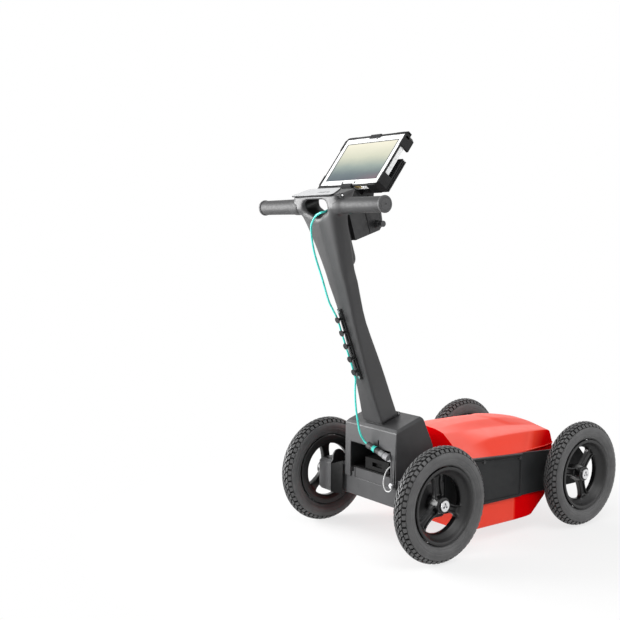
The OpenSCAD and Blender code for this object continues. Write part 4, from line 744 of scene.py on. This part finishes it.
# Hood: half width, height and length, then its stations as shares of them
HOOD_W, HOOD_H, HOOD_L = 201, 80, 497
SILL_DROP, SILL_RUN = 26, 490
HOOD = [
    # x, foot y, low edge y and z, high edge y and z, ridge z, rake
    (0, .995, .746, .25, .398, .613, .713, CAP_RAKE),
    (.151, 1, .746, .275, .398, .625, .825, .45),
    (.292, 1, .746, .481, .398, .663, .925, .15),
    (.453, .99, .746, .569, .398, .7, .988, 0),
    (.634, .92, .731, .606, .398, .713, 1, 0),
    (.805, .811, .692, .606, .398, .681, .913, 0),
    (.915, .711, .647, .55, .418, .619, .8, 0),
    (.976, .607, .557, .388, .428, .5, .625, 0),
    (1, .517, .478, .175, .378, .275, .413, 0),
]
BLISTER_TALL = 2.6


def sill(x):
    return SILL_REAR - SILL_DROP * (x - HOOD_REAR) / SILL_RUN


def cut_corners(points, share):
    out = [points[0]]
    for a, b in zip(points, points[1:]):
        out += [a.lerp(b, share), a.lerp(b, 1 - share)]
    return out + [points[-1]]


# The shallow raised field, with a rear edge that sweeps forward at its sides
def blister(x, y):
    y = abs(y)
    rear = 97 + max(y - 16, 0) * 52 / 46
    return BLISTER_TALL * step(x - rear, 0, 11) * step(84 - y, 0, 20) * step(310 - x, 0, 150)


def hood_ring(foot, low_y, low_z, high_y, high_z, ridge):
    half = [Vector((foot, 0)), Vector((low_y, low_z)), Vector((high_y, high_z)),
            Vector((high_y / 2, high_z + (ridge - high_z) * 0.75)), Vector((0, ridge))]
    ring = half + [Vector((-p.x, p.y)) for p in reversed(half[:-1])]
    for share in (0.09, 0.25, 0.25):
        ring = cut_corners(ring, share)
    return ring


def hood_mesh():
    rows = [Vector((HOOD_REAR + HOOD_L * x, HOOD_W * foot, HOOD_W * low_y, HOOD_H * low_z, HOOD_W * high_y,
                    HOOD_H * high_z, HOOD_H * ridge, rake))
            for x, foot, low_y, low_z, high_y, high_z, ridge, rake in HOOD]
    points = []
    stations = curve_points(rows, 8)
    for x, *sizes, rake in stations:
        ring = hood_ring(*sizes)
        for p in ring:
            raked = x + rake * p.y
            points.append(axle(raked, p.x, sill(x) + p.y + blister(raked, p.x)))
    rings, wide = len(stations), len(ring)
    return outward(mesh_from(points, skin(rings, wide, open_rings=True) + ends(rings, wide, flip=True)))


piece("hood_skin", hood_mesh(), "chassis", "red", ["antenna_hood"], sharp=35)

# Tyres with a block tread
TYRE_STEPS = 132
TREAD_DEPTH, TREAD_COUNT = 5.4, 54
# Fine lines on the sidewall: angle and width in degrees, depth in mm
LINES = [(122, 2.2, 0.9), (96, 2.0, 0.7)]
# Rows of blocks: first and last angle, shift in pitches, skew in degrees
ROWS = [(-13, -1.5, 0.0, 3.0), (1.5, 13, 0.5, -3.0), (-31, -16, 0.5, 2.0), (16, 31, 0.0, -2.0),
        (-57, -35, 0.0, 0.0), (35, 57, 0.5, 0.0)]
# A block's levels: inset in mm, half length in pitches, degrees off each end
LEVELS = [(TREAD_DEPTH + 0.6, 0.36, 0.0), (0.5, 0.33, 0.4), (0.0, 0.29, 1.3)]
# A block's walls, as pairs of a level's six points
WALLS = [(0, 1), (5, 4), (2, 0), (4, 2), (1, 3), (3, 5)]


def tyre_point(a, inset, turn):
    a = math.radians(a)
    r = TYRE_MID + (TYRE_TALL - inset) * math.cos(a)
    y = (TYRE_HALF - inset) * math.sin(a)
    return Vector((r * math.cos(turn) * MM, y * MM, r * math.sin(turn) * MM))


def tyre_profile():
    out = []
    for a in range(-150, 151, 3):
        tread = 1 - step(abs(a), 52, 62)
        line = sum(depth * math.exp(-((abs(a) - at) / width) ** 2) for at, width, depth in LINES)
        out.append((a, TREAD_DEPTH * tread + line))
    return out


def tyre_mesh():
    profile = tyre_profile()
    points = []
    for k in range(TYRE_STEPS):
        turn = 2 * math.pi * k / TYRE_STEPS
        points += [tyre_point(a, inset, turn) for a, inset in profile]
    faces = skin(TYRE_STEPS, len(profile), looped=True)
    pitch = 2 * math.pi / TREAD_COUNT
    for low, high, shift, skew in ROWS:
        cuts = [low + (high - low) * t for t in (0, 0.5, 1)]
        for k in range(TREAD_COUNT):
            mid = (k + shift) * pitch
            base = len(points)
            for inset, grow, edge in LEVELS:
                for c, a in enumerate(cuts):
                    lean = math.radians(skew) * (c - 1) * 0.5
                    for side in (-1, 1):
                        points.append(tyre_point(a + edge * (1 - c), inset, mid + lean + side * grow * pitch))
            for b in (base, base + 6):
                faces += [(b + p, b + q, b + q + 6, b + p + 6) for p, q in WALLS]
            t = base + 12
            faces += [(t, t + 1, t + 3, t + 2), (t + 2, t + 3, t + 5, t + 4)]
    return outward(mesh_from(points, faces))


def add_tyres():
    shape = tyre_mesh()
    for name, (x, y, turn) in WHEELS.items():
        mesh = shape.copy()
        mesh.transform(Matrix.Translation(axle(x * WHEEL_X, y * WHEEL_Y, WHEEL_Z))
                       @ Matrix.Rotation(math.radians(turn), 4, "Y"))
        piece(name + "_tread_tyre", mesh, name + "_wheel", "tyre", [name + "_tyre"], sharp=28)


add_tyres()

# A bead around each side rail's face
BEAD_R, BEAD_END, BEAD_EDGE = 1.1, 9, 7


def rail_bead(name, side):
    low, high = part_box(name)
    x0, x1 = low.x / MM - SHIFT + BEAD_END, high.x / MM - SHIFT - BEAD_END
    z0 = low.z / MM + BEAD_EDGE
    y = side * (max(abs(low.y), abs(high.y)) / MM - 0.3)
    corners = [(x0, z0), (x1, z0), (x1, sill(x1) - BEAD_EDGE - 4), (x0, sill(x0) - BEAD_EDGE - 4)]
    path = []
    for i, (x, z) in enumerate(corners):
        nx, nz = corners[(i + 1) % 4]
        for t in (0.02, 0.1, 0.5, 0.9, 0.98):
            path.append(axle(x + (nx - x) * t, y, z + (nz - z) * t))
    piece(name + "_bead", tube(path, BEAD_R, 8, True), "chassis", "rail")


for name, side in SIDES:
    rail_bead(name + "_side_rail", side)

# Grips, from the head's flank to the end flange
GRIP_AT = (7, 79, 635.6)
GRIP = [(0, 20.0), (0, 22.5), (0.8, 22.7), (24, 22.7), (26.5, 21.7), (40, 21.1), (90, 20.6), (140, 20.4),
        (170, 20.3), (173, 19.9), (174.6, 19.9), (175.2, 20.9), (176.4, 21.8), (178, 22.0), (181, 22.0),
        (182.4, 21.4), (183, 20.2), (183, 16.4), (182.4, 16.0), (182.4, 15.2), (183, 14.8), (183, 2.6),
        (181.6, 2.2), (181.6, 0)]
for name, side in SIDES:
    start = column(GRIP_AT[0], side * GRIP_AT[1], GRIP_AT[2])
    piece(name + "_grip_sleeve", lathe(GRIP, start, SIDEWAYS * side, 64), "column", "grip",
          [name + "_grip"], sharp=40)


# Small boxes with eased edges, each from its limits in a frame
def blocks(name, body, key, place, sizes, ease=0.4):
    grid = bmesh.new()
    for a0, a1, b0, b1, c0, c1 in sizes:
        made = [grid.verts.new(place(a, b, c)) for a in (a0, a1) for b in (b0, b1) for c in (c0, c1)]
        for f in ((0, 1, 3, 2), (4, 6, 7, 5), (0, 4, 5, 1), (2, 3, 7, 6), (0, 2, 6, 4), (1, 5, 7, 3)):
            grid.faces.new([made[i] for i in f])
    bmesh.ops.recalc_face_normals(grid, faces=grid.faces)
    bmesh.ops.bevel(grid, geom=list(grid.edges), offset=ease * MM, segments=2, affect="EDGES", profile=0.5)
    piece(name, mesh_of(grid), body, key, sharp=40)


blocks("contact_bar", "display", "gold", screen,
       [(4, 15, y, y + 5.4, -1.6, 0.6) for y in (-50, -44, -38, -32)])
blocks("socket_cover", "display", "white", screen,
       [(3, 16, -84, -72, -1.8, 0.6), (3, 16, -70, -54, -1.8, 0.6)])
blocks("side_covers", "display", "white", screen,
       [(5, 14, -124, -122, 62, 88), (5, 14, -124, -122, 92, 104)])
blocks("head_pads", "column", "pad", column,
       [(12, 22, y, y + 11, 670, 671.2) for y in (-38, -22, -6)])


# A frame with round corners on the tablet's face
def rounded_path(n, half, low, high, r, steps=6):
    out = []
    corners = ((half - r, high - r), (r - half, high - r), (r - half, low + r), (half - r, low + r))
    for quarter, (y, t) in enumerate(corners):
        for k in range(steps + 1):
            a = math.radians(90 * quarter + 90 * k / steps)
            out.append(screen(n, y + r * math.cos(a), t + r * math.sin(a)))
    return out


# Small turned and bent pieces
LENS_DOT = [(0, 2.0), (0.5, 2.0), (0.6, 1.5), (0.3, 1.1), (0.3, 0)]
KNOB_BUTTON = [(-0.3, 3.0), (0.4, 3.0), (0.9, 2.4), (1.1, 1.2), (1.1, 0)]
piece("tablet_rim", tube(rounded_path(1.4, 123.4, -0.4, 172.4, 9), 3.0, 10, True), "display", "guard")
piece("lens_dot", lathe(LENS_DOT, screen(0.1, -12, 163), screen(-1, 0, 0) - screen(0, 0, 0), 24),
      "display", "black", sharp=40)
piece("knob_button", lathe(KNOB_BUTTON, column(-2, -114.5, 664.5), -SIDEWAYS, 32), "knob", "steel", sharp=50)

# Three dark dots on each axle's head
MARK_Y, MARK_RING, MARK_FOOT, MARK_TOP, MARK_TALL = 267.6, 6.2, 2.5, 1.9, 0.5


def add_axle_marks():
    grid = bmesh.new()
    for x in (-WHEEL_X, WHEEL_X):
        for side in (-1, 1):
            turn = Matrix.Rotation(math.radians(90 * side), 4, "X")
            for k in range(3):
                a = math.radians(90 + 120 * k)
                spot = axle(x + MARK_RING * math.cos(a), side * MARK_Y, WHEEL_Z + MARK_RING * math.sin(a))
                bmesh.ops.create_cone(grid, cap_ends=True, segments=20, radius1=MARK_FOOT * MM,
                                      radius2=MARK_TOP * MM, depth=MARK_TALL * MM,
                                      matrix=Matrix.Translation(spot) @ turn)
    piece("axle_marks", mesh_of(grid), "chassis", "dark_steel", sharp=40)


add_axle_marks()

# The return between the encoder's box and the apron, a near-black piece of painted shade where only shade
# falls: its plan in the shared frame, in mm
RETURN_PLAN = [(-305.6, 157.2), (-293.2, 157.2), (-293.2, 116), (-294.4, 115)]
RETURN_LOW, RETURN_HIGH, RETURN_RISE = 112.4, 197, 15
RETURN_INSET, RETURN_EASE = 1.2, 1.6


def add_encoder_return():
    outer, inner = RETURN_PLAN[0][1], RETURN_PLAN[-1][1]
    tops = [RETURN_HIGH + RETURN_RISE * (outer - y) / (outer - inner) for _, y in RETURN_PLAN]
    points = [(x, y, RETURN_LOW) for x, y in RETURN_PLAN]
    points += [(x, y, top - RETURN_EASE) for (x, y), top in zip(RETURN_PLAN, tops)]
    points += [(x + RETURN_INSET, y, top) for (x, y), top in zip(RETURN_PLAN, tops)]
    mesh = outward(mesh_from([Vector(p) * MM for p in points], skin(3, 4) + ends(3, 4)))
    piece("encoder_shade_return", mesh, "chassis", "shade", sharp=40)


add_encoder_return()

# Hood lip, growing from nothing along the sides to the nose, and a lighter grey line on each rail's top edge
# as a painted highlight
LIP_START, LIP_FULL, LIP_END = 60, 150, 332
LIP_STEPS = 30
HIGHLIGHT_X, HIGHLIGHT_Y, HIGHLIGHT_R = (-236, -200, -100, 0, 60, 76), 208.2, 1.5


def hood_foot(x):
    share = np.interp((x - HOOD_REAR) / HOOD_L, [row[0] for row in HOOD], [row[1] for row in HOOD])
    return HOOD_W * float(share)


def add_hood_lip():
    xs = [LIP_START + (LIP_END - LIP_START) * k / LIP_STEPS for k in range(LIP_STEPS + 1)]
    side = [(x, hood_foot(x) - 0.8) for x in xs]
    front = [(LIP_END, y) for y in (70, 0, -70)]
    route = side + front + [(x, -y) for x, y in reversed(side)]
    path = [axle(x, y, sill(x) + 2.4) for x, y in route]
    radii = [0.4 + 2.2 * step(x, LIP_START, LIP_FULL) for x, _ in route]
    piece("hood_lip", tube(path, radii, 12), "chassis", "red", sharp=60)


add_hood_lip()
# Painted highlight: a grey tube along each rail's top edge
for name, side in SIDES:
    path = [axle(x, side * HIGHLIGHT_Y, sill(x) - 1.4) for x in HIGHLIGHT_X]
    piece(name + "_rail_edge_highlight", tube(path, HIGHLIGHT_R, 10), "chassis", "grey", sharp=60)

# Head plate, narrower at the front, with a dark rim
PLATE = [(-6.8, 103), (61, 103), (61, -40), (-6.8, -82)]
PLATE_ROUND = 16
# Inset and height of each of its levels, and of the rim
PLATE_LEVELS = [(0.8, 667.9), (0.0, 668.4), (0.0, 670.0), (0.5, 670.5)]
RIM_U, RIM_R = 668.6, 1.7


def rounded_outline(corners, r, steps=6):
    out = []
    for i, at in enumerate(corners):
        a = at + (corners[i - 1] - at).normalized() * r
        b = at + (corners[(i + 1) % len(corners)] - at).normalized() * r
        for k in range(steps + 1):
            t = k / steps
            out.append(a * (1 - t) ** 2 + at * 2 * t * (1 - t) + b * t * t)
    return out


def add_head_plate():
    edge = rounded_outline([Vector(p) for p in PLATE], PLATE_ROUND)
    mid = sum(edge, Vector((0, 0))) / len(edge)
    points = []
    for inset, u in PLATE_LEVELS:
        for p in edge:
            at = p + (mid - p).normalized() * inset
            points.append(column(at.x, at.y, u))
    size = len(PLATE_LEVELS), len(edge)
    mesh = outward(mesh_from(points, skin(*size) + ends(*size, flip=True)))
    piece("head_plate_top", mesh, "column", "plate", ["head_plate"], sharp=40)
    piece("head_plate_rim", tube([column(p.x, p.y, RIM_U) for p in edge], RIM_R, 10, True), "column", "black")


add_head_plate()

# Bumps on the tablet's corner guards
blocks("corner_bumps", "display", "guard", screen, [
    (0.5, 15, 121, 128.5, -5, 12), (0.5, 15, 108, 128.5, -6.5, -0.5), (0.5, 15, 119, 127, 160, 176),
    (0.5, 15, 98, 127, 171.5, 178), (0.5, 15, -128, -121, 158, 177), (0.5, 15, -128, -100, 171.5, 179),
    (-1.5, 14, -96, 94, 171.5, 177), (1.5, 14, -108, -90, -4.5, -0.5), (-1.5, 14, 40, 112, -5.5, -0.5)
], 1.2)

# Floor, light and world
FLOOR_HALF = 12
FLOOR_GREY = (0.88, 0.88, 0.88, 1)
# How much of the floor is plain white near the cart, and the ring where it becomes all of it, in m
FADE_SHARE, FADE_NEAR, FADE_FAR = 0.74, 0.5, 1.1
SOFT_LIGHT = 0.36
# Place, aim, size in m and power in W
LAMPS = {
    "panel": ((-2.2, 2.1, 1.0), (-0.2, 0, 0.5), 2.0, 190.0),
    "key": ((-0.8, -1.6, 3.0), (0, 0, 0.4), 2.2, 46.0),
    "fill": ((1.9, -2.9, 1.5), (0, 0, 0.35), 2.0, 22.0),
    "back": ((1.9, 1.8, 2.0), (0, 0, 0.35), 1.6, 13.0),
}


def add_floor():
    h = FLOOR_HALF
    mesh = mesh_from([(-h, -h, 0), (h, -h, 0), (h, h, 0), (-h, h, 0)], [(0, 1, 2, 3)])
    obj = bpy.data.objects.new("floor", mesh)
    SCENE.collection.objects.link(obj)
    mat = bpy.data.materials.new("floor_white")
    mat.use_nodes = True
    mat.node_tree.nodes.clear()
    g = Nodes(mat.node_tree)
    lit = g.add("ShaderNodeBsdfDiffuse", {"Color": FLOOR_GREY}).outputs["BSDF"]
    plain = g.add("ShaderNodeEmission", {"Color": WHITE}).outputs["Emission"]
    far = g.length(g.add("ShaderNodeTexCoord").outputs["Object"])
    fade = g.span(far, FADE_SHARE, 1.0, FADE_NEAR, FADE_FAR, interpolation_type="SMOOTHSTEP")
    look = g.shader_mix(g.shown(), lit, g.shader_mix(fade, lit, plain))
    g.add("ShaderNodeOutputMaterial", {"Surface": look})
    mesh.materials.append(mat)


def add_world():
    world = bpy.data.worlds.new("studio")
    SCENE.world = world
    world.use_nodes = True
    world.node_tree.nodes.clear()
    g = Nodes(world.node_tree)
    soft, plain = (g.add("ShaderNodeBackground", {"Color": WHITE, "Strength": strength}).outputs["Background"]
                   for strength in (SOFT_LIGHT, 1.0))
    g.add("ShaderNodeOutputWorld", {"Surface": g.shader_mix(g.shown(), soft, plain)})


def add_lamp(name, place, aim, size, power):
    data = bpy.data.lights.new(name, "AREA")
    data.shape = "SQUARE"
    data.size = size
    data.energy = power
    obj = bpy.data.objects.new(name, data)
    SCENE.collection.objects.link(obj)
    obj.location = place
    obj.rotation_euler = (Vector(aim) - Vector(place)).to_track_quat("-Z", "Y").to_euler()


add_floor()
add_world()
for name, lamp in LAMPS.items():
    add_lamp(name, *lamp)
